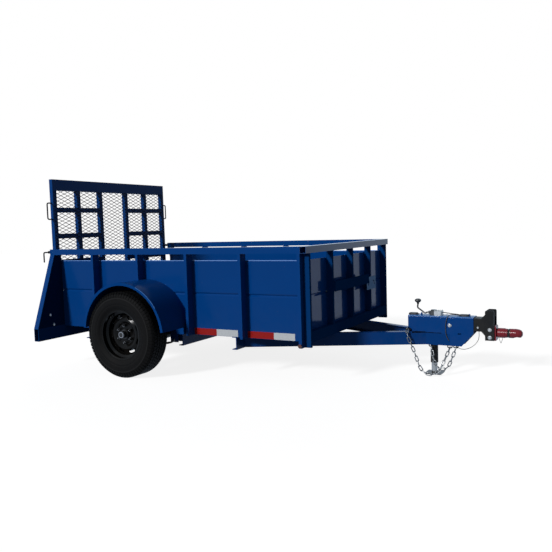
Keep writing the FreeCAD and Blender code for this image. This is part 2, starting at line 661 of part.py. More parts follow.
def leaf_springs():
    """A stack of four curved leaves under the axle tube, the longest with an eye at each end."""
    y0 = -(PANEL_Y - PANEL_THICK)
    seat = AXLE_TUBE_Z - AXLE_TUBE_RADIUS
    rise = SPRING_EYE_Z - SPRING_EYE_RADIUS + SPRING_EYE_SINK - (seat - SPRING_LEAF)
    bend = (SPRING_EYE_SPAN ** 2 + rise ** 2) / (2.0 * rise)
    half_angle = math.asin(SPRING_EYE_SPAN / bend)

    def at(layer, angle):
        radius = bend + layer * SPRING_LEAF
        return V(AXLE_X + radius * math.sin(angle), y0, seat + bend - radius * math.cos(angle))

    def curve(layer, start, end):
        return Part.Arc(at(layer, start), at(layer, (start + end) / 2.0), at(layer, end)).toShape()

    edges = [curve(0, -half_angle, half_angle)]
    ends = [half_angle * (1.0 - SPRING_STEP * layer) for layer in range(SPRING_LEAVES)]
    for layer, angle in enumerate(ends):
        edges.append(Part.makeLine(at(layer, angle), at(layer + 1, angle)))
        inner = ends[layer + 1] if layer + 1 < SPRING_LEAVES else -angle
        edges.append(curve(layer + 1, angle, inner))
    for layer in reversed(range(SPRING_LEAVES)):
        angle = -ends[layer]
        if layer + 1 < SPRING_LEAVES:
            edges.append(curve(layer + 1, -ends[layer + 1], angle))
        edges.append(Part.makeLine(at(layer + 1, angle), at(layer, angle)))
    spring = Part.Face(Part.Wire(Part.__sortEdges__(edges))).extrude(LEFT * SPRING_WIDTH)
    for s in (-1, 1):
        eye_centre = V(AXLE_X + s * SPRING_EYE_SPAN, y0, SPRING_EYE_Z)
        spring = spring.fuse(Part.makeCylinder(SPRING_EYE_RADIUS, SPRING_WIDTH, eye_centre, LEFT))
        spring = spring.cut(Part.makeCylinder(SPRING_BOLT_RADIUS, SPRING_WIDTH, eye_centre, LEFT))
    return both_sides(spring)


def spring_hangers():
    """Two-eared brackets under each sill with the bolts that hold the spring eyes."""
    y0 = -(PANEL_Y - PANEL_THICK) - HANGER_WALL
    y1 = y0 + SPRING_WIDTH + 2.0 * HANGER_WALL
    pieces = []
    for s in (-1, 1):
        x = AXLE_X + s * SPRING_EYE_SPAN
        half = HANGER_LENGTH / 2.0
        low = SPRING_EYE_Z - SPRING_EYE_RADIUS
        block = box(x - half, y0, low, x + half, y1, SILL_LOW)
        gap = box(x - half, y0 + HANGER_WALL, low, x + half, y1 - HANGER_WALL, SILL_LOW - HANGER_WALL)
        bolt = Part.makeCylinder(SPRING_BOLT_RADIUS, y1 - y0, V(x, y0, SPRING_EYE_Z), LEFT)
        pieces.append(block.cut(gap).fuse(bolt))
    return both_sides(Part.makeCompound(pieces))


def spring_clamps():
    """A plate under each spring, drawn up to the axle by two bent bolts."""
    y_mid = SPRING_WIDTH / 2.0 - (PANEL_Y - PANEL_THICK)
    low = AXLE_TUBE_Z - AXLE_TUBE_RADIUS - SPRING_LEAVES * SPRING_LEAF - SEAT_GAP
    clamp = box(AXLE_X - CLAMP_LENGTH / 2.0, y_mid - CLAMP_WIDTH / 2.0, low - CLAMP_THICK,
                AXLE_X + CLAMP_LENGTH / 2.0, y_mid + CLAMP_WIDTH / 2.0, low)
    arch = AXLE_TUBE_RADIUS + CLAMP_ROD + SEAT_GAP
    for side in (-1, 1):
        y = y_mid + side * (SPRING_WIDTH / 2.0 + CLAMP_ROD + 1.0)
        foot = low - CLAMP_THICK - CLAMP_TAIL
        edges = [Part.makeLine(V(AXLE_X - arch, y, foot), V(AXLE_X - arch, y, AXLE_TUBE_Z)),
                 Part.Arc(V(AXLE_X - arch, y, AXLE_TUBE_Z), V(AXLE_X, y, AXLE_TUBE_Z + arch),
                          V(AXLE_X + arch, y, AXLE_TUBE_Z)).toShape(),
                 Part.makeLine(V(AXLE_X + arch, y, AXLE_TUBE_Z), V(AXLE_X + arch, y, foot))]
        ring = Part.Wire(Part.makeCircle(CLAMP_ROD, V(AXLE_X - arch, y, foot), UP))
        clamp = clamp.fuse(Part.Wire(edges).makePipeShell([ring], True, False))
    return both_sides(clamp)


# Wheels

def tyre(side):
    """A carcass on the rim's bead seats: flat tread, sloped shoulders and rounded-out sidewalls."""
    half = TYRE_WIDTH / 2.0
    bead = RIM_FACE - RIM_FLANGE_THICK - BEAD_CLEARANCE
    upper = [(RIM_SEAT_RADIUS + BEAD_CLEARANCE, bead), (RIM_FLANGE_RADIUS + BEAD_HEEL, bead),
             (TYRE_RADIUS - SIDEWALL_DROP, half), (TYRE_RADIUS - SHOULDER_DROP, half - SHOULDER_IN),
             (TYRE_RADIUS, half - TREAD_IN)]
    lower = [(radius, -along) for radius, along in reversed(upper)]
    return turned(upper + lower, V(AXLE_X, side * WHEEL_Y, AXLE_Z), LEFT)


def stud_place(side, index, outward):
    """The middle of a wheel stud at a distance outward of the wheel's centre plane."""
    angle = 2.0 * math.pi * (index + 0.5) / STUD_COUNT
    y = side * (WHEEL_Y + outward)
    return V(AXLE_X + STUD_CIRCLE * math.cos(angle), y, AXLE_Z + STUD_CIRCLE * math.sin(angle))


def rim(side):
    """A steel rim: a rolled barrel with a drop well, welded to a dished disc with eight windows."""
    out = LEFT * side
    centre = V(AXLE_X, side * WHEEL_Y, AXLE_Z)
    seat, lip, wall = RIM_SEAT_RADIUS, RIM_FLANGE_RADIUS, RIM_WALL
    well = seat - RIM_WELL_DROP
    flange_in = RIM_FACE - RIM_FLANGE_THICK
    upper = [(well, RIM_WELL_HALF), (seat, RIM_RAMP), (seat, flange_in), (lip, flange_in), (lip, RIM_FACE),
             (lip - wall, RIM_FACE), (seat - wall, RIM_FACE - wall), (seat - wall, RIM_RAMP),
             (well - wall, RIM_WELL_HALF)]
    lower = [(radius, -along) for radius, along in reversed(upper)]
    barrel = turned(upper + lower, centre, out)
    face = DISC_MOUNT + DISC_THICK
    front = [(HUB_RADIUS + SEAT_GAP, face), (DISC_FLAT_RADIUS, face), (DISC_RISE_RADIUS, face + DISC_RISE),
             (DISC_CROWN_RADIUS, face + DISC_CROWN), (well - wall / 2.0, DISC_WELD_OUT)]
    back = [(radius, along - DISC_THICK) for radius, along in reversed(front)]
    disc = turned(front + back, centre, out)
    for index in range(WINDOW_COUNT):
        angle = 2.0 * math.pi * (index + 0.5) / WINDOW_COUNT
        outward = V(math.cos(angle), 0, math.sin(angle))
        along = V(-math.sin(angle), 0, math.cos(angle))
        disc = disc.cut(slot_plug(centre + outward * (well - WINDOW_IN), along, out, WINDOW_HALF,
                                  WINDOW_RADIUS, RIM_FACE))
    for index in range(STUD_COUNT):
        disc = disc.cut(Part.makeCylinder(STUD_RADIUS + SEAT_GAP, RIM_FACE, stud_place(side, index, 0.0), out))
    return barrel.fuse(disc)


def hub(side):
    """Brake drum, hub barrel with its grease cap, and the studs with their wheel nuts."""
    out = LEFT * side
    centre = V(AXLE_X, side * WHEEL_Y, AXLE_Z)
    bore = SPINDLE_RADIUS + SPINDLE_FIT
    face = DISC_MOUNT - SEAT_GAP
    back = face - DRUM_DEPTH
    inside = DRUM_RADIUS - DRUM_WALL
    cap = DISC_MOUNT + HUB_CAP_END
    body = turned([(bore, back + DRUM_HUB_START), (HUB_RADIUS, back + DRUM_HUB_START),
                   (HUB_RADIUS, face - DRUM_WALL), (inside, face - DRUM_WALL), (inside, back),
                   (DRUM_RADIUS, back), (DRUM_RADIUS, face), (HUB_RADIUS, face),
                   (HUB_RADIUS, face + HUB_STEP), (HUB_CAP_RADIUS, face + HUB_STEP),
                   (HUB_CAP_RADIUS, cap - HUB_CAP_ROUND), (HUB_CAP_RADIUS - HUB_CAP_ROUND, cap),
                   (bore, cap)], centre, out)
    lid = Part.makeCylinder(bore, HUB_CAP_ROUND, centre + out * (cap - HUB_CAP_ROUND), out)
    body = body.fuse(lid)
    nut_start = DISC_MOUNT + DISC_THICK + SEAT_GAP
    corner = NUT_FLATS / math.sqrt(3.0)
    for index in range(STUD_COUNT):
        stud = Part.makeCylinder(STUD_RADIUS, nut_start - face + DRUM_WALL / 2.0,
                                 stud_place(side, index, face - DRUM_WALL / 2.0), out)
        start = stud_place(side, index, nut_start)
        ring = [start + V(math.cos(k * math.pi / 3.0), 0, math.sin(k * math.pi / 3.0)) * corner for k in range(6)]
        nut = Part.Face(Part.makePolygon(ring + ring[:1])).extrude(out * NUT_LENGTH)
        cone = Part.makeCone(NUT_CAP_RADIUS, NUT_TIP_RADIUS, NUT_CAP_LENGTH, start + out * NUT_LENGTH, out)
        body = body.fuse(stud.fuse(nut).fuse(cone))
    return body


# Lamps and tape

def marker_lamps():
    """Round amber lamps low on the corner posts."""
    x = post_face(0) - POST_WIDTH / 2.0
    start = V(x, -SIDE - LAMP_THICK, SILL_LOW - CORNER_DROP / 2.0)
    return both_sides(Part.makeCylinder(LAMP_RADIUS, LAMP_THICK, start, LEFT))


def tail_lamps():
    """Round red lamps on the rear faces of the gussets."""
    y = -(PANEL_Y + REAR_BEAM_REACH - BRACE) / 2.0
    z = FRAME_LOW + REAR_BEAM_HEIGHT + TAIL_LAMP_UP
    start = V(REAR_X + BRACE - TAIL_LAMP_THICK, y, z)
    return both_sides(Part.makeCylinder(TAIL_LAMP_RADIUS, TAIL_LAMP_THICK, start, FORWARD))


def tape(colour):
    """Reflective strips between the side posts; each is red behind and white in front."""
    strips = []
    low = SILL_LOW + TAPE_LOW_UP
    for index in (0, 1):
        start = post_face(index + 1)
        end = post_face(index) - POST_WIDTH
        middle = start + (end - start) * TAPE_RED_SHARE
        x0, x1 = (start, middle) if colour == "red" else (middle, end)
        strips.append(box(x0, -PANEL_Y - TAPE_THICK, low, x1, -PANEL_Y, low + TAPE_HEIGHT))
    return both_sides(Part.makeCompound(strips))


# Coupler and actuator

def rounded(block, top, radius):
    """A block with its two lengthwise top edges rounded."""
    edges = [edge for edge in block.Edges
             if abs(edge.BoundBox.ZMin - top) < 0.1 and edge.BoundBox.XLength > edge.BoundBox.YLength]
    return block.makeFillet(radius, edges)


def actuator_case():
    """The outer case: a folded channel, deeper at the front, with a sloped toe."""
    half = NOSE_WIDTH / 2.0
    x_deep = NOSE_X + CASE_REAR_LENGTH
    x_toe = NOSE_END - NOSE_TOE
    outer = box(NOSE_X, -half, FRAME_LOW, NOSE_END, half, NOSE_TOP)
    outer = rounded(outer, NOSE_TOP, CASE_FOLD)
    inside = half - CASE_WALL
    inner = box(NOSE_X, -inside, FRAME_LOW, NOSE_END, inside, NOSE_TOP - CASE_WALL)
    inner = rounded(inner, NOSE_TOP - CASE_WALL, CASE_FOLD - CASE_WALL)
    step = box(NOSE_X, -half, FRAME_LOW, x_deep, half, SILL_LOW)
    toe = prism([(x_toe, -half, FRAME_LOW), (NOSE_END, -half, FRAME_LOW), (NOSE_END, -half, SILL_LOW)],
                LEFT * NOSE_WIDTH)
    case = outer.cut(inner).cut(step).cut(toe)
    hole = Part.makeCylinder(JACK_OUTER_RADIUS, CASE_WALL, V(JACK_X, 0, NOSE_TOP - CASE_WALL), UP)
    slot = slot_plug(V(NOSE_END - CASE_SLOT_BACK, -half, NOSE_TOP - CASE_SLOT_DROP), FORWARD, LEFT,
                     CASE_SLOT_HALF, CASE_SLOT_RADIUS, NOSE_WIDTH)
    return case.cut(hole).cut(slot)


def case_caps():
    """Two oval rubber covers on top of the case."""
    caps = []
    for ahead in CAP_PLACES:
        middle = V(NOSE_X + ahead, 0, NOSE_TOP)
        base = slot_plug(middle, FORWARD, UP, CAP_HALF, CAP_RADIUS, CAP_HEIGHT - CAP_STEP)
        crown = slot_plug(middle, FORWARD, UP, CAP_HALF, CAP_RADIUS - CAP_STEP, CAP_HEIGHT)
        caps.append(base.fuse(crown))
    return Part.makeCompound(caps)


def actuator_slide():
    """The inner tube that slides in the case, with the tall adjustment channel on its end."""
    half = NOSE_WIDTH / 2.0 - CASE_WALL - SLIDE_CLEARANCE
    high = NOSE_TOP - CASE_WALL - SLIDE_CLEARANCE
    start = JACK_X + JACK_OUTER_RADIUS + SLIDE_JACK_GAP
    face = NOSE_END + SLIDE_LENGTH
    flare = face - FLARE_LENGTH
    tube = rounded(box(start, -half, SLIDE_LOW, flare, half, high), high, CASE_FOLD - CASE_WALL)
    outline = [(flare, -half, SLIDE_LOW), (face, -half, SLIDE_LOW - FLARE_HEIGHT),
               (face, -half, high + FLARE_HEIGHT), (flare, -half, high)]
    tube = tube.fuse(prism(outline, LEFT * (2.0 * half)))
    tube = tube.cut(box(start, SLIDE_WALL - half, SLIDE_LOW + SLIDE_WALL, face,
                        half - SLIDE_WALL, high - SLIDE_WALL))
    wide = CHANNEL_WIDTH / 2.0
    end = face + CHANNEL_LENGTH
    channel = box(face, -wide, CHANNEL_LOW, end, wide, CHANNEL_HIGH)
    corners = [edge for edge in channel.Edges
               if abs(edge.BoundBox.ZMin - CHANNEL_HIGH) < 0.1 and edge.BoundBox.YLength > CHANNEL_WIDTH / 2.0]
    channel = channel.makeFillet(CHANNEL_CORNER, corners)
    channel = channel.cut(box(face + CHANNEL_WALL, CHANNEL_WALL - wide, CHANNEL_LOW, end,
                              wide - CHANNEL_WALL, CHANNEL_HIGH))
    return tube.fuse(channel)


def coupler_head():
    """The cast coupler bolted in the channel, with a ball socket that opens downwards."""
    start = FRONT_X + COUPLER_START
    half = CHANNEL_WIDTH / 2.0 - CHANNEL_WALL - SLIDE_CLEARANCE
    out = start + COUPLER_PAD_OUT
    back = start - CHANNEL_LENGTH + CHANNEL_WALL
    pad = box(back, -half, COUPLER_PAD_LOW, out, half, COUPLER_PAD_HIGH)
    lug_z = COUPLER_PAD_HIGH - COUPLER_LUG_RADIUS / 2.0
    lug = Part.makeCylinder(COUPLER_LUG_RADIUS, 2.0 * half, V(out - COUPLER_LUG_RADIUS, -half, lug_z), LEFT)
    pin_hole = Part.makeCylinder(COUPLER_LUG_BORE, 2.0 * half, V(out - COUPLER_LUG_RADIUS, -half, lug_z), LEFT)
    axis = V(start, 0, COUPLER_AXIS_Z)
    neck = Part.makeCylinder(HEAD_RADIUS - NECK_DROP, COLLAR_LENGTH + COLLAR_RING, axis, FORWARD)
    head_x = start + COLLAR_LENGTH + COLLAR_RING
    tip = head_x + HEAD_LENGTH
    r = HEAD_RADIUS
    profile = [(0.0, 0.0)] + [(r - under, ahead) for under, ahead in HEAD_START]
    profile += [(r - under, HEAD_LENGTH - back) for under, back in HEAD_NOSE] + [(0.0, HEAD_LENGTH)]
    nose = turned(profile, V(head_x, 0, COUPLER_AXIS_Z), FORWARD)
    head = nose.fuse(neck).fuse(pad).fuse(lug).cut(pin_hole)
    ball_x = tip - BALL_SETBACK
    radius = BALL_RADIUS + BALL_CLEARANCE
    socket = Part.makeCylinder(radius, 2.0 * r, V(ball_x, 0, COUPLER_AXIS_Z - 2.0 * r), UP)
    socket = socket.fuse(Part.makeSphere(radius, V(ball_x, 0, COUPLER_AXIS_Z)))
    return head.cut(socket)


def coupler_collar():
    """The sliding lock collar with its end ring."""
    start = V(FRONT_X + COUPLER_START + COUPLER_PAD_OUT + SEAT_GAP, 0, COUPLER_AXIS_Z)
    bore = HEAD_RADIUS - NECK_DROP + SEAT_GAP
    r = COLLAR_RADIUS
    shoulder = COLLAR_LENGTH - COUPLER_PAD_OUT
    end = shoulder + COLLAR_RING - 2.0 * SEAT_GAP
    return turned([(bore, 0.0), (r - 6.0, 0.0), (r, 8.0), (r, shoulder), (r - 3.0, shoulder + 1.0),
                   (r - 3.0, end), (bore, end)], start, FORWARD)


# Jack

def jack_tube():
    """The fixed outer tube with a guide ring at its mouth."""
    base = V(JACK_X, 0, JACK_OUTER_LOW)
    height = NOSE_TOP - JACK_OUTER_LOW
    inner = JACK_OUTER_RADIUS - JACK_OUTER_WALL
    guide = JACK_LEG_RADIUS + JACK_CLEARANCE
    return turned([(guide, 0.0), (JACK_OUTER_RADIUS, 0.0), (JACK_OUTER_RADIUS, height), (inner, height),
                   (inner, JACK_GUIDE), (guide, JACK_GUIDE)], base, UP)


def jack_leg():
    """The inner tube that screws down out of the jack, welded to its square foot."""
    tube = turned([(JACK_LEG_RADIUS - JACK_LEG_WALL, FOOT_THICK), (JACK_LEG_RADIUS, FOOT_THICK),
                   (JACK_LEG_RADIUS, JACK_LEG_TOP), (JACK_LEG_RADIUS - JACK_LEG_WALL, JACK_LEG_TOP)],
                  V(JACK_X, 0, 0), UP)
    half = FOOT_SIZE / 2.0
    foot = box(JACK_X - half, -half, 0, JACK_X + half, half, FOOT_THICK)
    corners = [edge for edge in foot.Edges if edge.BoundBox.ZLength > FOOT_THICK / 2.0]
    return tube.fuse(foot.makeFillet(FOOT_CORNER, corners))


def jack_head():
    """The gear case on top of the actuator, with a lid over the screw and a boss for the crank."""
    half = HEAD_BOX_WIDTH / 2.0
    x0 = JACK_X - JACK_OUTER_RADIUS
    case = box(x0, -half, NOSE_TOP, x0 + HEAD_BOX_LENGTH, half, NOSE_TOP + HEAD_BOX_HEIGHT)
    corners = [edge for edge in case.Edges if edge.BoundBox.ZLength > HEAD_BOX_HEIGHT / 2.0]
    case = case.makeFillet(HEAD_BOX_CORNER, corners)
    lid = Part.makeCylinder(HEAD_LID_RADIUS, HEAD_LID_HEIGHT, V(JACK_X, 0, NOSE_TOP + HEAD_BOX_HEIGHT), UP)
    boss = Part.makeCylinder(CRANK_BOSS_RADIUS, CRANK_BOSS_LENGTH + HEAD_BOX_CORNER,
                             V(x0 - CRANK_BOSS_LENGTH, 0, NOSE_TOP + CRANK_UP), FORWARD)
    return case.fuse(lid).fuse(boss)


def jack_crank():
    """The bent crank rod with its round knob."""
    x0 = JACK_X - JACK_OUTER_RADIUS - CRANK_BOSS_LENGTH
    z0 = NOSE_TOP + CRANK_UP
    points = [(x0 + ahead, 0, z0 + up) for ahead, up in CRANK_STEPS]
    crank, tightest = bent_rod(points, CRANK_ROD, CRANK_BEND)
    return crank.fuse(turned(KNOB, V(*points[-1]), UP))


# Safety chains and cables

def ahead_of_box(points):
    """Places given forward of the box's front face, turned into places in the part's frame."""
    return [V(FRONT_X + x, y, z) for x, y, z in points]


def chain_link(middle, along, normal):
    """One welded link: a ring of eight straight stretches around its opening."""
    side = normal.cross(along)
    half = (LINK_WIDTH - LINK_WIRE) / 2.0
    straight = (LINK_LENGTH - LINK_WIRE) / 2.0 - half
    tip = straight + half
    flat = half * LINK_TIP
    corners = [(straight, -half), (tip, -flat), (tip, flat), (straight, half),
               (-straight, half), (-tip, flat), (-tip, -flat), (-straight, -half)]
    path = [middle + along * a + side * b for a, b in corners]
    rings = []
    for index, place in enumerate(path):
        into = (place - path[index - 1]).normalize()
        out = (path[(index + 1) % len(path)] - place).normalize()
        outward = into.cross(normal) + out.cross(normal)
        outward = outward * (1.0 / (1.0 + into.dot(out)))
        ring = []
        for k in range(LINK_SIDES):
            angle = 2.0 * math.pi * (k + 0.5) / LINK_SIDES
            radius = LINK_WIRE / 2.0
            ring.append(place + outward * (radius * math.cos(angle)) + normal * (radius * math.sin(angle)))
        rings.append(ring)
    faces = []
    for index, ring in enumerate(rings):
        after = rings[(index + 1) % len(rings)]
        for k in range(LINK_SIDES):
            j = (k + 1) % LINK_SIDES
            corners = [ring[k], after[k], after[j], ring[j], ring[k]]
            faces.append(Part.Face(Part.makePolygon(corners)))
    solid = Part.makeSolid(Part.makeShell(faces))
    if solid.Volume < 0:
        solid.reverse()
    return solid


def chain_joints(route):
    """The points where one link hangs on the next, a link's pitch apart along the route."""
    line = Part.BSplineCurve()
    line.interpolate(route)
    pitch = LINK_LENGTH - 2.0 * LINK_WIRE - LINK_SLACK
    stretch = 2.0 * pitch * (line.LastParameter - line.FirstParameter) / line.length()
    joints = [route[0]]
    place = line.FirstParameter
    while place < line.LastParameter:
        low = place
        high = place + stretch
        while high - low > stretch / 4000.0:
            middle = (low + high) / 2.0
            if (line.value(middle) - joints[-1]).Length < pitch:
                low = middle
            else:
                high = middle
        place = low
        joints.append(line.value(place))
    return joints[:-1]


def chain(route):
    """Welded links, each turned a quarter turn from the one before."""
    joints = chain_joints(ahead_of_box(route))
    normal = FORWARD
    links = []
    for start, end in zip(joints, joints[1:]):
        along = (end - start).normalize()
        normal = (normal - along * normal.dot(along)).normalize()
        links.append(chain_link((start + end) * 0.5, along, normal))
        normal = along.cross(normal)
    return links, joints


def safety_chains():
    links = []
    for route in CHAIN_ROUTES:
        strand, joints = chain(route)
        print("chain of", len(strand), "links, ends at", joints[-1] - V(FRONT_X, 0, 0))
        links += strand
    return Part.makeCompound(links)


def chain_eye(place, along, seat_z):
    """A bent bar with both ends welded on, which a chain's end link hangs on."""
    bar = place - along * EYE_ROD
    points = [(bar.x - EYE_HALF, bar.y, seat_z), (bar.x - EYE_HALF, bar.y, bar.z),
              (bar.x + EYE_HALF, bar.y, bar.z), (bar.x + EYE_HALF, bar.y, seat_z)]
    return bent_rod(points, EYE_ROD, EYE_BEND)[0]


def chain_eyes():
    eyes = []
    for route, first_seat in zip(CHAIN_ROUTES, (SILL_LOW, FRAME_LOW)):
        joints = chain(route)[1]
        eyes.append(chain_eye(joints[0], (joints[0] - joints[1]).normalize(), first_seat))
        eyes.append(chain_eye(joints[-1], (joints[-1] - joints[-2]).normalize(), FRAME_LOW))
    return Part.makeCompound(eyes)


def breakaway_cable():
    """The steel cable that hangs in a loop from the slide to the inside of the case."""
    cable, tightest = bent_rod(ahead_of_box(CABLE_ROUTE), CABLE_RADIUS)
    print("breakaway cable, tightest bend", round(tightest, 1))
    return cable


def brake_lead():
    """The black lead that comes down over the case's right side."""
    lead, tightest = bent_rod(ahead_of_box(LEAD_ROUTE), LEAD_RADIUS)
    print("brake lead, tightest bend", round(tightest, 1))
    return lead


# Ramp gate

def gate_frame():
    """Tubes of the ramp gate: edge uprights, two pairs of inner uprights and ties."""
    half = GATE_WIDTH / 2.0
    x1 = GATE_FRONT - MESH_THICK
    x0 = x1 - GATE_DEPTH
    bars = [box(x0, -half, GATE_TOP - GATE_TOP_BAR, x1, half, GATE_TOP),
            box(x0, -half, GATE_BASE, x1, half, GATE_BASE + GATE_BAR)]
    for middle in (half - GATE_BAR / 2.0, GATE_OUTER, GATE_INNER):
        for side in (-1, 1):
            y = side * middle
            bars.append(box(x0, y - GATE_BAR / 2.0, GATE_BASE, x1, y + GATE_BAR / 2.0, GATE_TOP))
    for row in range(GATE_ROWS - 1):
        z = GATE_ROW_TOP - row * GATE_ROW_PITCH
        for side in (-1, 1):
            low, high = sorted((side * GATE_INNER, side * (half - GATE_BAR)))
            bars.append(box(x0, low, z - GATE_BAR / 2.0, x1, high, z + GATE_BAR / 2.0))
    frame = bars[0]
    for bar in bars[1:]:
        frame = frame.fuse(bar)
    return frame.removeSplitter()


def gate_mesh():
    """Expanded metal on the driving face, as one sheet with diamond openings."""
    half = GATE_WIDTH / 2.0
    low = GATE_BASE
    high = GATE_TOP - GATE_TOP_BAR
    x = GATE_FRONT
    outline = [V(x, -half, low), V(x, half, low), V(x, half, high), V(x, -half, high)]
    wires = [Part.makePolygon(outline + outline[:1])]
    long_half = (MESH_LONG - 2.0 * MESH_STRAND) / 2.0
    short_half = (MESH_SHORT - MESH_STRAND) / 2.0
    for row in range(int((high - low) / MESH_SHORT * 2.0)):
        z = low + (row + 1) * MESH_SHORT / 2.0
        shift = MESH_LONG / 2.0 if row % 2 else 0.0
        for column in range(int(GATE_WIDTH / MESH_LONG) + 1):
            y = shift - half + column * MESH_LONG
            if abs(y) + long_half > half - MESH_EDGE or z + short_half > high - MESH_EDGE:
                continue
            if z - short_half < low + MESH_EDGE:
                continue
            corners = [V(x, y - long_half, z), V(x, y, z - short_half), V(x, y + long_half, z),
                       V(x, y, z + short_half)]
            wires.append(Part.makePolygon(corners + corners[:1]))
    return Part.Face(wires).extrude(FORWARD * -MESH_THICK)


def hinge_knuckles(leaf):
    """Hinge tubes: two on the frame outside each one on the gate."""
    pieces = []
    for side in (-1, 1):
        y = side * HINGE_OFFSET
        if leaf == "gate":
            spans = [(y - HINGE_LENGTH / 2.0, y + HINGE_LENGTH / 2.0)]
        else:
            step = HINGE_LENGTH + 2.0
            spans = [(y - HINGE_LENGTH / 2.0 + s * step, y + HINGE_LENGTH / 2.0 + s * step) for s in (-1, 1)]
        for y0, y1 in spans:
            tube = Part.makeCylinder(HINGE_TUBE_RADIUS, y1 - y0, V(HINGE_X, y0, HINGE_Z), LEFT)
            r = HINGE_TUBE_RADIUS
            if leaf == "gate":
                strap = box(HINGE_X - r * 0.4, y0, HINGE_Z, HINGE_X + r * 0.4, y1, GATE_BASE)
                tube = tube.fuse(strap)
                tube = tube.cut(Part.makeCylinder(HINGE_PIN_RADIUS + HINGE_FIT, y1 - y0, V(HINGE_X, y0, HINGE_Z), LEFT))
            else:
                ear = box(HINGE_X, y0, HINGE_Z - r, REAR_X, y1, HINGE_Z)
                tube = tube.fuse(ear)
            pieces.append(tube)
        if leaf == "frame":
            pin = Part.makeCylinder(HINGE_PIN_RADIUS, HINGE_LENGTH + 4.0,
                                    V(HINGE_X, y - HINGE_LENGTH / 2.0 - 2.0, HINGE_Z), LEFT)
            pieces = pieces[:-2] + [pieces[-2].fuse(pieces[-1]).fuse(pin)]
    return Part.makeCompound(pieces)


def gate_handles():
    """A bent rod on each edge of the gate, near the top."""
    half = GATE_WIDTH / 2.0
    x = GATE_FRONT - MESH_THICK - GATE_DEPTH / 2.0
    out = -half - HANDLE_OUT
    bar, tightest = bent_rod([(x, -half, HANDLE_LOW), (x, out, HANDLE_LOW), (x, out, HANDLE_HIGH),
                              (x, -half, HANDLE_HIGH)], HANDLE_ROD, HANDLE_BEND)
    return both_sides(bar)


def gate_latches():
    """A spring pin in a tube behind each rail end, drawn back clear of the gate."""
    x = REAR_X - LATCH_BACK
    tube_end = -GATE_WIDTH / 2.0 - LATCH_EDGE
    tube_start = tube_end - LATCH_TUBE_LENGTH
    tube = Part.makeCylinder(LATCH_TUBE_RADIUS, LATCH_TUBE_LENGTH, V(x, tube_start, LATCH_UP), LEFT)
    web = box(x, tube_start, LATCH_UP - LATCH_PIN_RADIUS, REAR_X, tube_end, LATCH_UP + LATCH_PIN_RADIUS)
    out = -SIDE - LATCH_OUT
    pin, tightest = bent_rod([(x, tube_start, LATCH_UP), (x, out, LATCH_UP),
                              (x, out, LATCH_UP - LATCH_DROP)], LATCH_PIN_RADIUS, LATCH_BEND)
    return both_sides(tube.fuse(web).fuse(pin))


# Spare wheel carrier

def spare_carrier():
    """A bar across the front posts with a slotted mounting plate at its end."""
    low = SILL_LOW + CARRIER_UP
    start = -FRONT_POST_PITCH - POST_WIDTH / 2.0
    bar = box(FRONT_X, start, low, FRONT_X + POST_WIDTH, FRONT_POST_PITCH - CARRIER_PLATE_HALF, low + POST_DEPTH)
    y = FRONT_POST_PITCH
    plate = box(FRONT_X, y - CARRIER_PLATE_HALF, low - CARRIER_PLATE_DOWN, FRONT_X + CARRIER_THICK,
                y + CARRIER_PLATE_HALF, low + CARRIER_PLATE_UP)
    lean = math.radians(CARRIER_SLOT_LEAN)
    for side in (-1, 1):
        middle = V(FRONT_X, y + side * CARRIER_SLOT_OUT, low - (CARRIER_PLATE_DOWN - CARRIER_PLATE_UP) / 2.0)
        along = V(0, -side * math.sin(lean), math.cos(lean))
        plate = plate.cut(slot_plug(middle, along, FORWARD, CARRIER_SLOT_HALF, CARRIER_SLOT_RADIUS,
                                    CARRIER_THICK))
    return bar.fuse(plate)


NODES = {
    "crossmembers": crossmembers, "side_sills": side_sills, "front_sill": front_sill,
    "rear_beam": rear_beam, "tongue_beams": tongue_beams, "deck_planks": deck_planks,
    "side_panels": side_panels, "front_panel": front_panel, "side_posts": side_posts,
    "front_posts": front_posts, "side_rails": side_rails, "front_rail": front_rail,
    "rear_braces": rear_braces, "rear_gussets": rear_gussets, "fenders": fenders, "axle": axle,
    "brake_backings": brake_backings, "leaf_springs": leaf_springs, "spring_hangers": spring_hangers,
    "spring_clamps": spring_clamps, "case_caps": case_caps, "safety_chains": safety_chains,
    "chain_eyes": chain_eyes, "breakaway_cable": breakaway_cable, "brake_lead": brake_lead,
    "gate_latches": gate_latches,
    "marker_lamps": marker_lamps, "tail_lamps": tail_lamps, "spare_carrier": spare_carrier,
    "actuator_case": actuator_case, "actuator_slide": actuator_slide, "coupler_head": coupler_head,
    "coupler_collar": coupler_collar, "jack_tube": jack_tube, "jack_head": jack_head,
    "jack_crank": jack_crank, "jack_leg": jack_leg, "gate_frame": gate_frame, "gate_mesh": gate_mesh,
    "gate_handles": gate_handles,
}

os.makedirs("parts", exist_ok=True)
for name, make in NODES.items():
    make().exportStep("parts/" + name + ".step")
for colour in ("red", "white"):
    tape(colour).exportStep("parts/tape_" + colour + ".step")
for leaf in ("gate", "frame"):
    hinge_knuckles(leaf).exportStep("parts/hinges_" + leaf + ".step")
for label, side in (("right", -1), ("left", 1)):
    tyre(side).exportStep("parts/tyre_" + label + ".step")
    rim(side).exportStep("parts/rim_" + label + ".step")
    hub(side).exportStep("parts/hub_" + label + ".step")
print("box front face at x =", round(FRONT_X, 1), "overall length", round(GATE_REACH + NOSE_REACH, 1))
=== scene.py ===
import math

import bmesh
import bpy
import numpy as np
from mathutils import Matrix, Vector


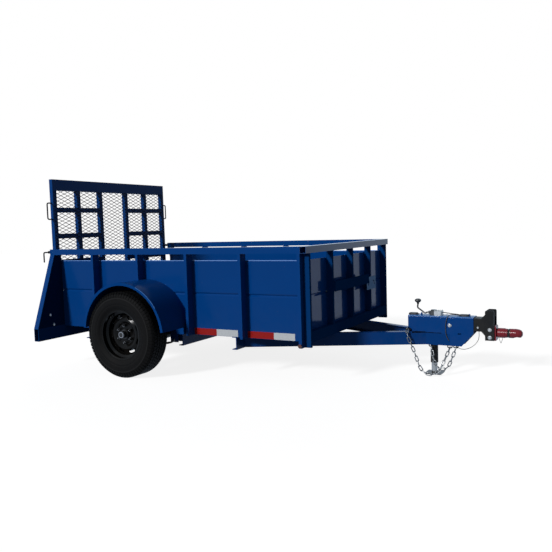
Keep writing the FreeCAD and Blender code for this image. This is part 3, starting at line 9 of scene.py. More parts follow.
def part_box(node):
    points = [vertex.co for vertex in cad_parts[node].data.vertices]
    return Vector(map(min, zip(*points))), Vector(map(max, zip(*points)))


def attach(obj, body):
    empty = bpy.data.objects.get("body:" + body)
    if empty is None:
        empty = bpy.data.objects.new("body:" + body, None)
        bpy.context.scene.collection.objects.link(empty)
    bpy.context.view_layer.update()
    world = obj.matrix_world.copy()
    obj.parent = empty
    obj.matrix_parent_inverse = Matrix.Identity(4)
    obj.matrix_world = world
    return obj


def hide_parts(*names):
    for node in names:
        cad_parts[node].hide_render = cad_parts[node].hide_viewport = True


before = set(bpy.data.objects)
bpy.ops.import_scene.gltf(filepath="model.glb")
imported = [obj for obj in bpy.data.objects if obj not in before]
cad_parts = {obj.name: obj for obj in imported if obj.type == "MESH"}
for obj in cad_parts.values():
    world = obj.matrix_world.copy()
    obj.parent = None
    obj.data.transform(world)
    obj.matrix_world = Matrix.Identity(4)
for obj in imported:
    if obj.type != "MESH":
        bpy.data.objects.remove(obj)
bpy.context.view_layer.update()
scene = bpy.context.scene
scene.view_settings.view_transform = "Standard"

# Camera: standing off the trailer's front near corner, a little above the rails, turned a
# touch clockwise, as the photograph was taken.
CAMERA_PLACE = Vector((2.6699, -4.8682, 1.1663))
CAMERA_TURN = math.radians(29.394)
CAMERA_DOWN = math.radians(4.399)
CAMERA_ROLL = math.radians(-1.724)
LENS_LENGTH = 41.89
SENSOR_WIDTH = 36.0


def standing(name, data):
    """A new object in the scene."""
    made = bpy.data.objects.new(name, data)
    scene.collection.objects.link(made)
    return made


look = Vector((
    -math.sin(CAMERA_TURN) * math.cos(CAMERA_DOWN),
    math.cos(CAMERA_TURN) * math.cos(CAMERA_DOWN),
    -math.sin(CAMERA_DOWN),
))
level = Vector((math.cos(CAMERA_TURN), math.sin(CAMERA_TURN), 0.0))
upright = level.cross(look)
right = math.cos(CAMERA_ROLL) * level + math.sin(CAMERA_ROLL) * upright
over = math.cos(CAMERA_ROLL) * upright - math.sin(CAMERA_ROLL) * level
lens = bpy.data.cameras.new("photo_camera")
lens.lens = LENS_LENGTH
lens.sensor_width = SENSOR_WIDTH
camera = standing("photo_camera", lens)
camera.matrix_world = Matrix.Translation(CAMERA_PLACE) @ Matrix((right, over, -look)).transposed().to_4x4()
scene.camera = camera

# Breakaway cable and brake lead: a stranded steel cable from the coupler's slide back to the
# brake case, and a soft black wire from the case's cap down its side. Both hang free between ends.
FRONT = 0.6505  # the box's front face; places on the tongue are given ahead of it


def put(tree, kind, inputs=(), **settings):
    """Adds a node; each input is given a value or another node's output."""
    made = tree.nodes.new(kind)
    for key, value in settings.items():
        setattr(made, key, value)
    for key, value in dict(inputs).items():
        if isinstance(value, bpy.types.NodeSocket):
            tree.links.new(value, made.inputs[key])
        else:
            made.inputs[key].default_value = value
    return made


def noise(tree, place, scale, detail, roughness=0.5, distortion=0.0):
    """Cloudy noise, from 0 to 1."""
    inputs = {"Vector": place, "Scale": scale, "Detail": detail, "Roughness": roughness, "Distortion": distortion}
    return put(tree, "ShaderNodeTexNoise", inputs).outputs["Fac"]


def blended(tree, share, first, second):
    """A colour between two, by a share."""
    return put(tree, "ShaderNodeMix", {0: share, 6: first, 7: second}, data_type="RGBA").outputs[2]


def surface(name, roughness, metal=0.0, specular=0.5):
    """A material with its principled shader, and its object coordinates."""
    made = bpy.data.materials.new(name)
    made.use_nodes = True
    shader = made.node_tree.nodes["Principled BSDF"]
    shader.inputs["Roughness"].default_value = roughness
    shader.inputs["Metallic"].default_value = metal
    shader.inputs["Specular IOR Level"].default_value = specular
    spot = made.node_tree.nodes.new("ShaderNodeTexCoord").outputs["Object"]
    return made, made.node_tree, shader, spot


def coloured(tree, shader, tone, height, strength, distance):
    """Gives a shader its colour, and bumps it by a height."""
    tree.links.new(tone, shader.inputs["Base Color"])
    bump = put(tree, "ShaderNodeBump", {"Height": height, "Strength": strength, "Distance": distance})
    tree.links.new(bump.outputs["Normal"], shader.inputs["Normal"])


def round_line(name, points, radius, fineness):
    """A round bar on a smooth path through control points, given ahead of the box."""
    curve = bpy.data.curves.new(name, "CURVE")
    curve.dimensions = "3D"
    curve.bevel_depth = radius
    curve.bevel_resolution = fineness
    curve.use_fill_caps = True
    line = curve.splines.new("NURBS")
    line.points.add(len(points) - 1)
    for point, (x, y, z) in zip(line.points, points):
        point.co = (FRONT + x, y, z, 1.0)
    line.order_u = 3
    line.use_endpoint_u = True
    return curve


def free_cord(name, points, radius, material):
    """A cord that hangs between two ends, on the chassis."""
    curve = round_line(name, points, radius, 3)
    curve.materials.append(material)
    made = standing(name, curve)
    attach(made, "chassis")
    return made


CABLE_RADIUS = 0.002
CABLE_ROUTE = (
    (1.006, -0.030, 0.349), (1.009, -0.030, 0.312), (0.998, -0.030, 0.272), (0.970, -0.030, 0.238),
    (0.934, -0.030, 0.214), (0.893, -0.032, 0.203), (0.855, -0.040, 0.212), (0.830, -0.0525, 0.240),
)
strands, tree, shader, spot = surface("stranded_cable", 0.45, metal=0.2)
twist = {"Vector": spot, "Scale": 160.0, "Distortion": 2.0}
twist = put(tree, "ShaderNodeTexWave", twist, bands_direction="DIAGONAL").outputs["Fac"]
tone = blended(tree, twist, (0.010, 0.009, 0.009, 1), (0.060, 0.052, 0.050, 1))
coloured(tree, shader, tone, twist, strength=0.5, distance=0.0006)
cable = free_cord("breakaway_line", CABLE_ROUTE, CABLE_RADIUS, strands)
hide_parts("breakaway_cable")

LEAD_RADIUS = 0.0025
LEAD_ROUTE = (
    (0.8557, 0.000, 0.456), (0.824, -0.014, 0.463), (0.790, -0.058, 0.466), (0.774, -0.068, 0.430),
    (0.768, -0.068, 0.385), (0.768, -0.068, 0.340), (0.774, -0.068, 0.300), (0.792, -0.063, 0.268),
)
soft_black, tree, shader, spot = surface("soft_black_cover", 0.45)
fleck = noise(tree, spot, scale=90.0, detail=4.0)
tone = blended(tree, fleck, (0.010, 0.010, 0.011, 1), (0.035, 0.035, 0.036, 1))
coloured(tree, shader, tone, fleck, strength=0.2, distance=0.0004)
lead = free_cord("brake_wire", LEAD_ROUTE, LEAD_RADIUS, soft_black)
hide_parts("brake_lead")

# Stage: a pale floor and a white studio around it, with one broad lamp high on the trailer's
# near rear side, so that the front wall and the gate's inner face stay in shade.
FLOOR_REACH = 30.0
WHITE = (1, 1, 1, 1)


def reckon(tree, operation, *values):
    """A sum of numbers or of other nodes' outputs."""
    return put(tree, "ShaderNodeMath", enumerate(values), operation=operation).outputs[0]


def sun(name, comes_from, spread, strength):
    """A far lamp whose light comes from a direction, over a spread in degrees."""
    light = bpy.data.lights.new(name, "SUN")
    light.angle = math.radians(spread)
    light.energy = strength
    lamp = standing(name, light)
    lamp.rotation_euler = comes_from.to_track_quat("Z", "Y").to_euler()
    return lamp


floor_mesh = bpy.data.meshes.new("floor")
corners = [(x * FLOOR_REACH, y * FLOOR_REACH, 0.0) for x, y in ((-1, -1), (1, -1), (1, 1), (-1, 1))]
floor_mesh.from_pydata(corners, [], [(0, 1, 2, 3)])
pale = bpy.data.materials.new("pale_floor")
pale.use_nodes = True
tree = pale.node_tree
tree.nodes.clear()
ray = put(tree, "ShaderNodeLightPath").outputs
seen = reckon(tree, "MAXIMUM", ray["Is Camera Ray"], ray["Is Transmission Ray"])
seen = reckon(tree, "MAXIMUM", seen, ray["Is Glossy Ray"])
mirrored = blended(tree, ray["Is Glossy Ray"], WHITE, (0.62, 0.76, 0.96, 1))
glow = put(tree, "ShaderNodeEmission", {"Color": mirrored, "Strength": 0.84})
shade = put(tree, "ShaderNodeBsdfDiffuse", {"Color": (0.25, 0.25, 0.25, 1)})
shown = put(tree, "ShaderNodeAddShader", {0: glow.outputs[0], 1: shade.outputs[0]})
under = put(tree, "ShaderNodeBsdfDiffuse", {"Color": (0.20, 0.20, 0.20, 1)})
both = put(tree, "ShaderNodeMixShader", {0: seen, 1: under.outputs[0], 2: shown.outputs[0]})
put(tree, "ShaderNodeOutputMaterial", {"Surface": both.outputs[0]})
floor_mesh.materials.append(pale)
floor = standing("floor", floor_mesh)
studio = bpy.data.worlds.new("studio")
studio.use_nodes = True
scene.world = studio
tree = studio.node_tree
tree.nodes.clear()
ray = put(tree, "ShaderNodeLightPath").outputs
seen = reckon(tree, "MAXIMUM", ray["Is Camera Ray"], ray["Is Transmission Ray"])
far = put(tree, "ShaderNodeBackground", {"Color": WHITE, "Strength": 1.0})
near = put(tree, "ShaderNodeBackground", {"Color": (0.92, 0.96, 1, 1), "Strength": 0.20})
cool = put(tree, "ShaderNodeBackground", {"Color": (0.72, 0.86, 1, 1), "Strength": 1.0})
lit = put(tree, "ShaderNodeMixShader", {0: ray["Is Glossy Ray"], 1: near.outputs[0], 2: cool.outputs[0]})
both = put(tree, "ShaderNodeMixShader", {0: seen, 1: lit.outputs[0], 2: far.outputs[0]})
put(tree, "ShaderNodeOutputWorld", {"Surface": both.outputs[0]})
LAMP_AWAY = 9.0
LAMP_FROM = Vector((-0.29, -0.85, 0.43)).normalized()
lamp = sun("broad_lamp", LAMP_FROM, spread=9.0, strength=3.2)
lamp.location = LAMP_FROM * LAMP_AWAY
lamp = sun("far_side_lamp", Vector((-0.50, 0.80, 0.34)), spread=40.0, strength=0.9)
lamp.visible_glossy = False

# Frame: bent steel channels and a rear beam, welded and powder coated gloss blue. Dust
# settles low down, stone chips show here and there, and flat sheets are a little wavy.
BLUE = (0.0008, 0.036, 0.166, 1)
DUST = (0.17, 0.14, 0.11, 1)
CHIPPED = (0.10, 0.09, 0.08, 1)
# Painted shadow: a near-black blue standing in for the shade under the brake case's overhang.
CASE_SHADOW_DARK = (0.0008, 0.003, 0.012, 1)


def shader_group(name, inputs, outputs):
    """An empty shader group whose sockets are given as name to default; "" stands for a place."""
    tree = bpy.data.node_groups.new(name, "ShaderNodeTree")
    kinds = {float: "NodeSocketFloat", tuple: "NodeSocketColor", str: "NodeSocketVector"}
    for key, value in inputs.items():
        socket = tree.interface.new_socket(name=key, in_out="INPUT", socket_type=kinds[type(value)])
        if value != "":
            socket.default_value = value
    for key, value in outputs.items():
        tree.interface.new_socket(name=key, in_out="OUTPUT", socket_type=kinds[type(value)])
    return tree, tree.nodes.new("NodeGroupInput").outputs, tree.nodes.new("NodeGroupOutput").inputs


def ranged(tree, value, low=0.0, high=1.0, least=0.0, most=1.0):
    """A number carried from one range to another."""
    inputs = {"Value": value, "From Min": low, "From Max": high, "To Min": least, "To Max": most}
    return put(tree, "ShaderNodeMapRange", inputs).outputs[0]


def vector_sum(tree, operation, *values):
    """A sum of vectors or colours."""
    return put(tree, "ShaderNodeVectorMath", enumerate(values), operation=operation).outputs[0]


def split(tree, place):
    """The X, Y and Z of a place."""
    return put(tree, "ShaderNodeSeparateXYZ", {0: place}).outputs


inputs = {"Place": "", "Colour": BLUE, "Scale": 2.0, "Spread": 0.1}
uneven_colour, given, out = shader_group("uneven_colour", inputs, {"Colour": BLUE})
cloud = noise(uneven_colour, given["Place"], scale=given["Scale"], detail=5.0, roughness=0.6)
swing = reckon(uneven_colour, "SUBTRACT", cloud, 0.5)
swing = reckon(uneven_colour, "MULTIPLY_ADD", swing, given["Spread"], 1.0)
toned = put(uneven_colour, "ShaderNodeVectorMath", {0: given["Colour"], "Scale": swing}, operation="SCALE")
uneven_colour.links.new(toned.outputs[0], out["Colour"])

road_dust, given, out = shader_group("road_dust", {"Place": "", "Reach": 0.5, "Amount": 0.3}, {"Mask": 0.0})
low = ranged(road_dust, split(road_dust, given["Place"])["Z"], 0.0, given["Reach"], 1.0, 0.0)
patch = ranged(road_dust, noise(road_dust, given["Place"], scale=14.0, detail=8.0, roughness=0.7), 0.38, 0.72)
mask = reckon(road_dust, "MULTIPLY", reckon(road_dust, "MULTIPLY", low, patch), given["Amount"])
road_dust.links.new(mask, out["Mask"])

stone_chips, given, out = shader_group("stone_chips", {"Place": "", "Scale": 60.0, "Amount": 0.5}, {"Mask": 0.0})
cells = {"Vector": given["Place"], "Scale": given["Scale"], "Randomness": 1.0}
cells = put(stone_chips, "ShaderNodeTexVoronoi", cells).outputs
tiny = ranged(stone_chips, cells["Distance"], 0.05, 0.09, 1.0, 0.0)
rare = put(stone_chips, "ShaderNodeSeparateColor", {0: cells["Color"]})
rare = reckon(stone_chips, "GREATER_THAN", rare.outputs[0], 0.93)
mask = reckon(stone_chips, "MULTIPLY", reckon(stone_chips, "MULTIPLY", tiny, rare), given["Amount"])
stone_chips.links.new(mask, out["Mask"])

inputs = {"Place": "", "Wave": 1.0, "Peel": 1.0}
coat_surface, given, out = shader_group("coat_surface", inputs, {"Height": 0.0, "Roughness": 0.0})
slow = reckon(coat_surface, "MULTIPLY", noise(coat_surface, given["Place"], scale=3.2, detail=1.0), given["Wave"])
peel = noise(coat_surface, given["Place"], scale=420.0, detail=1.0)
coat_surface.links.new(reckon(coat_surface, "MULTIPLY_ADD", peel, given["Peel"], slow), out["Height"])
coat_surface.links.new(noise(coat_surface, given["Place"], scale=9.0, detail=6.0, roughness=0.65), out["Roughness"])

slab_mask, given, out = shader_group("slab_mask", {"Along": 0.0, "Low": 0.0, "High": 1.0}, {"Mask": 0.0})
over_low = reckon(slab_mask, "GREATER_THAN", given["Along"], given["Low"])
under_high = reckon(slab_mask, "LESS_THAN", given["Along"], given["High"])
slab_mask.links.new(reckon(slab_mask, "MULTIPLY", over_low, under_high), out["Mask"])


def grouped(tree, which, **values):
    """Places a shader group with its own values."""
    return put(tree, "ShaderNodeGroup", values, node_tree=which).outputs


def painted(name, colour, gloss, specular, dust, wave=1.0, spread=0.16, sheen=None):
    """Powder coat or paint over steel, with dust low down and small chips. A sheen of clear
    gloss, given as a weight and two heights, fades in between them."""
    made, tree, shader, spot = surface(name, 0.3, specular=specular)
    tone = grouped(tree, uneven_colour, Place=spot, Colour=colour, Scale=2.4, Spread=spread)["Colour"]
    dusty = grouped(tree, road_dust, Place=spot, Reach=0.62, Amount=dust)["Mask"]
    tone = blended(tree, dusty, tone, DUST)
    chips = grouped(tree, stone_chips, Place=spot, Scale=46.0, Amount=0.8)["Mask"]
    coat = grouped(tree, coat_surface, Place=spot, Wave=wave, Peel=0.02)
    coloured(tree, shader, blended(tree, chips, tone, CHIPPED), coat["Height"], strength=1.0, distance=0.004)
    rough = ranged(tree, coat["Roughness"], 0.3, 0.7, *gloss)
    tree.links.new(reckon(tree, "MULTIPLY_ADD", dusty, 0.6, rough), shader.inputs["Roughness"])
    if sheen:
        weight, low, high = sheen
        ragged = reckon(tree, "MULTIPLY_ADD", coat["Roughness"], 0.10, split(tree, spot)["Z"])
        tree.links.new(ranged(tree, ragged, low, high, 0.0, weight), shader.inputs["Coat Weight"])
        shader.inputs["Coat Roughness"].default_value = 0.06
    return made


def banded(base, name, along, bands, colour, metal=0.0, kept=()):
    """A copy of a material with bands of another colour and metal share. Along is X, Y or Z,
    or else the axle from which the distance is taken. The bands keep to parts of X, Y or Z."""
    made = base.copy()
    made.name = name
    tree = made.node_tree
    shader = tree.nodes["Principled BSDF"]
    spot = next(each for each in tree.nodes if each.bl_idname == "ShaderNodeTexCoord").outputs["Object"]
    apart = split(tree, spot)
    if along in ("X", "Y", "Z"):
        measured = apart[along]
    else:
        flat = vector_sum(tree, "MULTIPLY", vector_sum(tree, "SUBTRACT", spot, along), (1.0, 0.0, 1.0))
        measured = put(tree, "ShaderNodeVectorMath", {0: flat}, operation="LENGTH").outputs["Value"]
    mask = 0.0
    for low, high in bands:
        within = grouped(tree, slab_mask, Along=measured, Low=low, High=high)["Mask"]
        mask = reckon(tree, "MAXIMUM", mask, within)
    for axis, (low, high) in dict(kept).items():
        within = grouped(tree, slab_mask, Along=apart[axis], Low=low, High=high)["Mask"]
        mask = reckon(tree, "MULTIPLY", mask, within)
    tone = shader.inputs["Base Color"].links[0].from_socket
    tree.links.new(blended(tree, mask, tone, colour), shader.inputs["Base Color"])
    own_metal = shader.inputs["Metallic"].default_value
    if metal != own_metal:
        tree.links.new(ranged(tree, mask, least=own_metal, most=metal), shader.inputs["Metallic"])
    return made


def dress(material, *names):
    """Gives CAD nodes a material."""
    for name in names:
        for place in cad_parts[name].material_slots:
            place.material = material


SEAM_LOW = 0.3205  # where the brake case's lower edge meets the beams
CASE_REAR = FRONT + 0.520
BEYOND = 9.0  # past every piece
BEAM_BLUE = (0.0007, 0.032, 0.150, 1)
blue = painted("gloss_blue_coat", BLUE, gloss=(0.14, 0.28), specular=0.10, dust=0.10, spread=0.12)
dress(blue, "crossmembers", "side_sills", "spring_hangers", "hinges_frame")
beam_blue = painted("beam_blue_coat", BEAM_BLUE, gloss=(0.14, 0.28), specular=0.04, dust=0.08, spread=0.12)
# Painted shadow: the beams' tops under the brake case are painted near-black, as if in the case's shade.
shadow_band = ((SEAM_LOW, BEYOND),)
beam_blue = banded(beam_blue, "beam_shaded_under_the_case", "Z", shadow_band, CASE_SHADOW_DARK, kept={"X": (CASE_REAR, BEYOND)})
dress(beam_blue, "tongue_beams")

# Deck: eight pressure-treated pine planks laid lengthwise, weathered grey-brown, each held
# to the crossmembers by pairs of self-drilling screws.
PLANK_COUNT = 8
PLANK_PITCH = 0.196
CROSS_COUNT = 4
CROSS_START = 0.632  # the first crossmember, behind the box's front face
CROSS_PITCH = 0.515
SCREW_OFF_MIDDLE = 0.055
DECK_SCREW = (0.011, 0.0016, 0.0062)  # width across flats, height of head, radius of washer
wood, tree, shader, spot = surface("weathered_planks", 0.75, specular=0.25)
plank = reckon(tree, "FLOOR", reckon(tree, "DIVIDE", split(tree, spot)["Y"], PLANK_PITCH))
own = put(tree, "ShaderNodeTexWhiteNoise", {"W": plank}, noise_dimensions="1D").outputs
shift = vector_sum(tree, "MULTIPLY", own["Color"], (7.0, 3.0, 5.0))
moved = vector_sum(tree, "ADD", spot, shift)
long = put(tree, "ShaderNodeMapping", {"Vector": moved, "Scale": (1.2, 26.0, 26.0)})
grain = noise(tree, long.outputs[0], scale=2.2, detail=9.0, roughness=0.62, distortion=0.6)
rings = put(tree, "ShaderNodeMapping", {"Vector": moved, "Scale": (0.35, 7.0, 7.0)})
rings = {"Vector": rings.outputs[0], "Scale": 2.6, "Distortion": 7.0, "Detail": 3.0, "Detail Scale": 0.8}
rings = put(tree, "ShaderNodeTexWave", rings, bands_direction="Y").outputs["Fac"]
mixed = ranged(tree, reckon(tree, "MULTIPLY_ADD", grain, 0.6, rings), 0.25, 1.3)
tone = blended(tree, mixed, (0.115, 0.082, 0.050, 1), (0.36, 0.275, 0.175, 1))
tone = blended(tree, reckon(tree, "MULTIPLY", own["Value"], 0.4), tone, (0.25, 0.20, 0.135, 1))
coloured(tree, shader, tone, grain, strength=0.6, distance=0.002)
dress(wood, "deck_planks")

zinc, tree, shader, spot = surface("zinc_plate", 0.32, metal=0.75)
spangle = put(tree, "ShaderNodeTexVoronoi", {"Vector": spot, "Scale": 130.0})
cloud = noise(tree, spot, scale=30.0, detail=6.0)
tone = blended(tree, spangle.outputs["Color"], (0.50, 0.51, 0.50, 1), (0.66, 0.67, 0.66, 1))
coloured(tree, shader, blended(tree, cloud, tone, (0.27, 0.27, 0.27, 1)), cloud, strength=0.3, distance=0.0006)
tree.links.new(ranged(tree, cloud, least=0.22, most=0.5), shader.inputs["Roughness"])


def growing_tree(name, source, result, inputs):
    """An empty geometry tree between two geometry sockets, with inputs given as name to kind."""
    tree = bpy.data.node_groups.new(name, "GeometryNodeTree")
    tree.interface.new_socket(name=source, in_out="INPUT", socket_type="NodeSocketGeometry")
    ids = {}
    for key, kind in inputs.items():
        ids[key] = tree.interface.new_socket(name=key, in_out="INPUT", socket_type="NodeSocket" + kind).identifier
    tree.interface.new_socket(name=result, in_out="OUTPUT", socket_type="NodeSocketGeometry")
    return tree, ids, tree.nodes.new("NodeGroupInput").outputs


def joined(tree, *parts):
    """Parts joined in one geometry."""
    whole = put(tree, "GeometryNodeJoinGeometry")
    for part in parts:
        tree.links.new(part, whole.inputs[0])
    return whole.outputs[0]


def shifted(tree, **steps):
    """A shift along X, Y or Z."""
    return put(tree, "ShaderNodeCombineXYZ", steps).outputs[0]


def cone(tree, sides, top, bottom, depth):
    """A straight or tapered round with flat ends."""
    inputs = {"Vertices": sides, "Radius Top": top, "Radius Bottom": bottom, "Depth": depth}
    return put(tree, "GeometryNodeMeshCone", inputs).outputs["Mesh"]


def set_on(tree, points, shape, turned):
    """A shape placed on every point, turned its way."""
    dots = put(tree, "GeometryNodeMeshToPoints", {"Mesh": points}).outputs["Points"]
    return put(tree, "GeometryNodeInstanceOnPoints", {"Points": dots, "Instance": shape, "Rotation": turned}).outputs[0]


def finish(tree, geometry, material):
    """Ends a tree in real geometry with its material."""
    real = put(tree, "GeometryNodeRealizeInstances", {"Geometry": geometry})
    coated = put(tree, "GeometryNodeSetMaterial", {"Geometry": real.outputs[0], "Material": material})
    put(tree, "NodeGroupOutput", {0: coated.outputs[0]})


def grown(name, tree, ids, values, mesh, body, smooth=False):
    """Runs a geometry tree on a mesh, keeps its result as a plain mesh, and rides it on a body."""
    made = standing(name, mesh)
    modifier = made.modifiers.new(name, "NODES")
    modifier.node_group = tree
    for key, value in values.items():
        modifier[ids[key]] = value
    made.update_tag()
    result = bpy.data.meshes.new_from_object(made.evaluated_get(bpy.context.evaluated_depsgraph_get()))
    made.modifiers.clear()
    made.data = result
    for face in result.polygons:
        face.use_smooth = smooth
    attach(made, body)
    return made


def pointing(name, places, ways):
    """A mesh of bare points, with a direction stored on each under every given name."""
    mesh = bpy.data.meshes.new(name)
    mesh.from_pydata([tuple(place) for place in places], [], [])
    for key, directions in ways.items():
        store = mesh.attributes.new(key, "FLOAT_VECTOR", "POINT")
        store.data.foreach_set("vector", [value for direction in directions for value in direction])
    return mesh


FLATS_TO_CORNER = 0.577
DOME_TOP = 0.72  # of the head's radius
DOME_RISE = 0.22  # of the head's height
WASHER_RISE = 0.25
WASHER_SIDES = 16
inputs = {"Flats": "Float", "Head": "Float", "Washer": "Float", "Sides": "Int", "Finish": "Material"}
fastener_tree, fastener_ids, given = growing_tree("fasteners", "Places", "Fasteners", inputs)
corner = reckon(fastener_tree, "MULTIPLY", given["Flats"], FLATS_TO_CORNER)
shank = cone(fastener_tree, given["Sides"], corner, corner, given["Head"])
narrow = reckon(fastener_tree, "MULTIPLY", corner, DOME_TOP)
dome = cone(
    fastener_tree, given["Sides"], narrow, corner, reckon(fastener_tree, "MULTIPLY", given["Head"], DOME_RISE)
)
lift = shifted(fastener_tree, Z=given["Head"])
dome = put(fastener_tree, "GeometryNodeTransform", {"Geometry": dome, "Translation": lift})
thin = reckon(fastener_tree, "MULTIPLY", given["Head"], WASHER_RISE)
washer = cone(fastener_tree, WASHER_SIDES, given["Washer"], given["Washer"], thin)
whole = joined(fastener_tree, shank, dome.outputs["Geometry"], washer)
facing = put(fastener_tree, "GeometryNodeInputNamedAttribute", {"Name": "facing"}, data_type="FLOAT_VECTOR")
turned = put(fastener_tree, "FunctionNodeAlignRotationToVector", {"Vector": facing.outputs["Attribute"]}, axis="Z")
finish(fastener_tree, set_on(fastener_tree, given["Places"], whole, turned.outputs["Rotation"]), given["Finish"])


def fasteners(name, heads, size, material, body="chassis", sides=6):
    """Bolt or screw heads, each given as its place and the way it faces."""
    places, ways = zip(*heads)
    values = dict(zip(("Flats", "Head", "Washer"), size), Sides=sides, Finish=material)
    mesh = pointing(name, places, {"facing": ways})
    return grown(name, fastener_tree, fastener_ids, values, mesh, body)


deck_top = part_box("deck_planks")[1][2]
deck_screws = [
    (FRONT - CROSS_START - cross * CROSS_PITCH, (row - (PLANK_COUNT - 1) / 2) * PLANK_PITCH + off, deck_top)
    for row in range(PLANK_COUNT) for cross in range(CROSS_COUNT) for off in (-SCREW_OFF_MIDDLE, SCREW_OFF_MIDDLE)
]
fasteners("deck_screws", [(place, (0, 0, 1)) for place in deck_screws], DECK_SCREW, zinc, sides=8)

# Walls: 2 mm sheet with a pressed crease, standing behind folded posts under a square top
# rail. The front wall's sheet is glossier, so it mirrors the bright surroundings.
FRONT_BLUE = (0.0010, 0.034, 0.170, 1)
FRONT_RAIL_BLUE = (0.0012, 0.034, 0.150, 1)
POST_BLUE = (0.0016, 0.028, 0.115, 1)
SHEET_EDGE_HIGHLIGHT = (0.11, 0.22, 0.50, 1)
SHEET_EDGE = 0.006
side_blue = painted("wall_blue_coat", BLUE, gloss=(0.12, 0.24), specular=0.055, dust=0.06, wave=1.2, spread=0.12)
front_blue = painted(
    "front_wall_blue_coat", FRONT_BLUE, gloss=(0.30, 0.44), specular=0.02, dust=0.03, sheen=(0.44, 0.46, 0.50)
)
rail_blue = painted(
    "front_rail_blue_coat", FRONT_RAIL_BLUE, gloss=(0.10, 0.20), specular=0.05, dust=0.03, wave=0.6,
    sheen=(0.42, 0.10, 0.20),
)
post_blue = painted("post_blue_coat", POST_BLUE, gloss=(0.3, 0.45), specular=0.0, dust=0.03, wave=0.3)
# Painted highlight: a thin lighter blue strip along the side sheets' top edge, as if the edge caught the lamp.
panel_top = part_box("side_panels")[1][2]
panel_highlight_band = ((panel_top - SHEET_EDGE, BEYOND),)
highlighted_panel_blue = banded(side_blue, "side_panel_blue_coat_with_painted_edge_highlight", "Z", panel_highlight_band, SHEET_EDGE_HIGHLIGHT)
dress(side_blue, "side_posts", "side_rails", "rear_braces")
dress(highlighted_panel_blue, "side_panels")
dress(front_blue, "front_panel")
dress(rail_blue, "front_rail")
dress(post_blue, "front_posts", "front_sill", "rear_beam")

# Spare wheel carrier: a bar across the front wall's posts with a slotted plate. Part of the plate's flat face has a
# painted sheen, a lighter, partly metallic grey-blue standing in for the sky's reflection.
PLATE_WIDTH = 0.210
PLATE_PAINTED_SHEEN = (0.030, 0.090, 0.190, 1)
plate_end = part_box("spare_carrier")[1][1]
plate_sheen_band = ((plate_end - PLATE_WIDTH, BEYOND),)
dress(banded(post_blue, "carrier_plate_painted_sheen", "Y", plate_sheen_band, PLATE_PAINTED_SHEEN, metal=0.3), "spare_carrier")

# Rear gussets: flat plates behind the rear braces, in the gate's shade, each with two plated bolts. Their blue is
# painted darker than the rest: painted shade.
GUSSET_PAINTED_SHADE = (0.0007, 0.012, 0.052, 1)
GUSSET_BOLTS = ((0.932, 0.448), (0.897, 0.358))  # out from the middle, and up
GUSSET_BOLT = (0.017, 0.008, 0.0125)
gusset_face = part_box("rear_gussets")[1][0]
dress(painted("gusset_painted_shade_coat", GUSSET_PAINTED_SHADE, gloss=(0.3, 0.45), specular=0.0, dust=0.03, wave=0.3), "rear_gussets")
gusset_bolts = [((gusset_face, side * out, up), (1, 0, 0)) for side in (-1, 1) for out, up in GUSSET_BOLTS]
fasteners("gusset_bolts", gusset_bolts, GUSSET_BOLT, zinc)

# Fenders: rolled 3 mm sheet with turned-down lips, bolted to tabs on the sills. The near fender's lip has a painted
# highlight, a thin lighter blue line along its forward curve, as if it caught the lamp.
FENDER_X = FRONT - 1.505
FENDER_Z = 0.352
LIP_PAINTED_HIGHLIGHT = (0.045, 0.130, 0.340, 1)
LIP_HIGHLIGHT_WIDTH = 0.0045
LIP_THICK = 0.002
LIP_HIGHLIGHT_START = FENDER_X + 0.16
LIP_HIGHLIGHT_END = FENDER_X + 0.345
fender_low, fender_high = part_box("fenders")
fender_radius = fender_high[2] - FENDER_Z
fender_blue = painted("fender_blue_coat", BLUE, gloss=(0.12, 0.24), specular=0.02, dust=0.06, wave=0.8, spread=0.12)
lip_highlight_band = ((fender_radius - LIP_HIGHLIGHT_WIDTH, BEYOND),)
fender_blue = banded(
    fender_blue, "fender_blue_with_painted_lip_highlight", (FENDER_X, 0.0, FENDER_Z), lip_highlight_band, LIP_PAINTED_HIGHLIGHT,
    kept={"X": (LIP_HIGHLIGHT_START, LIP_HIGHLIGHT_END), "Y": (-BEYOND, fender_low[1] + LIP_THICK)},
)
dress(fender_blue, "fenders")

# Ramp gate: a welded tube lattice backed by a sheet of expanded steel, hung on three pin
# hinges, with bent-rod handles and spring latches. The sheet is slit and drawn into diamonds.
SATIN_BLACK = (0.009, 0.0095, 0.0105, 1)
NET_GREY = (0.014, 0.018, 0.028, 1)
DIAMOND_ROWS = 36
DIAMOND_COLUMNS = 19
STRAND_WIDTH = 0.0040
NET_EDGE = 0.012
dress(side_blue, "gate_frame", "hinges_gate")
black = painted("satin_black_paint", SATIN_BLACK, gloss=(0.28, 0.45), specular=0.10, dust=0.12, spread=0.3)
dress(
    black, "gate_handles", "gate_latches", "axle", "brake_backings", "leaf_springs", "chain_eyes",
    "actuator_slide", "jack_tube",
)
net_paint = painted("expanded_steel_paint", NET_GREY, gloss=(0.4, 0.6), specular=0.03, dust=0.06)
inputs = {
    "Diamond length": "Float", "Diamond height": "Float", "Strand": "Float", "Steps": "Int", "Rows": "Int",
    "Finish": "Material",
}
net_tree, net_ids, given = growing_tree("expanded_steel", "Sheet", "Net", inputs)
step = shifted(net_tree, Y=reckon(net_tree, "MULTIPLY", given["Diamond length"], 0.5))
row = put(net_tree, "GeometryNodeMeshLine", {"Count": given["Steps"], "Offset": step}, mode="OFFSET")
odd = reckon(net_tree, "MODULO", net_tree.nodes.new("GeometryNodeInputIndex").outputs[0], 2.0)
rise = reckon(net_tree, "MULTIPLY", odd, reckon(net_tree, "MULTIPLY", given["Diamond height"], 0.5))
rise = {"Geometry": row.outputs[0], "Offset": shifted(net_tree, Z=rise)}
zigzag = put(net_tree, "GeometryNodeSetPosition", rise)
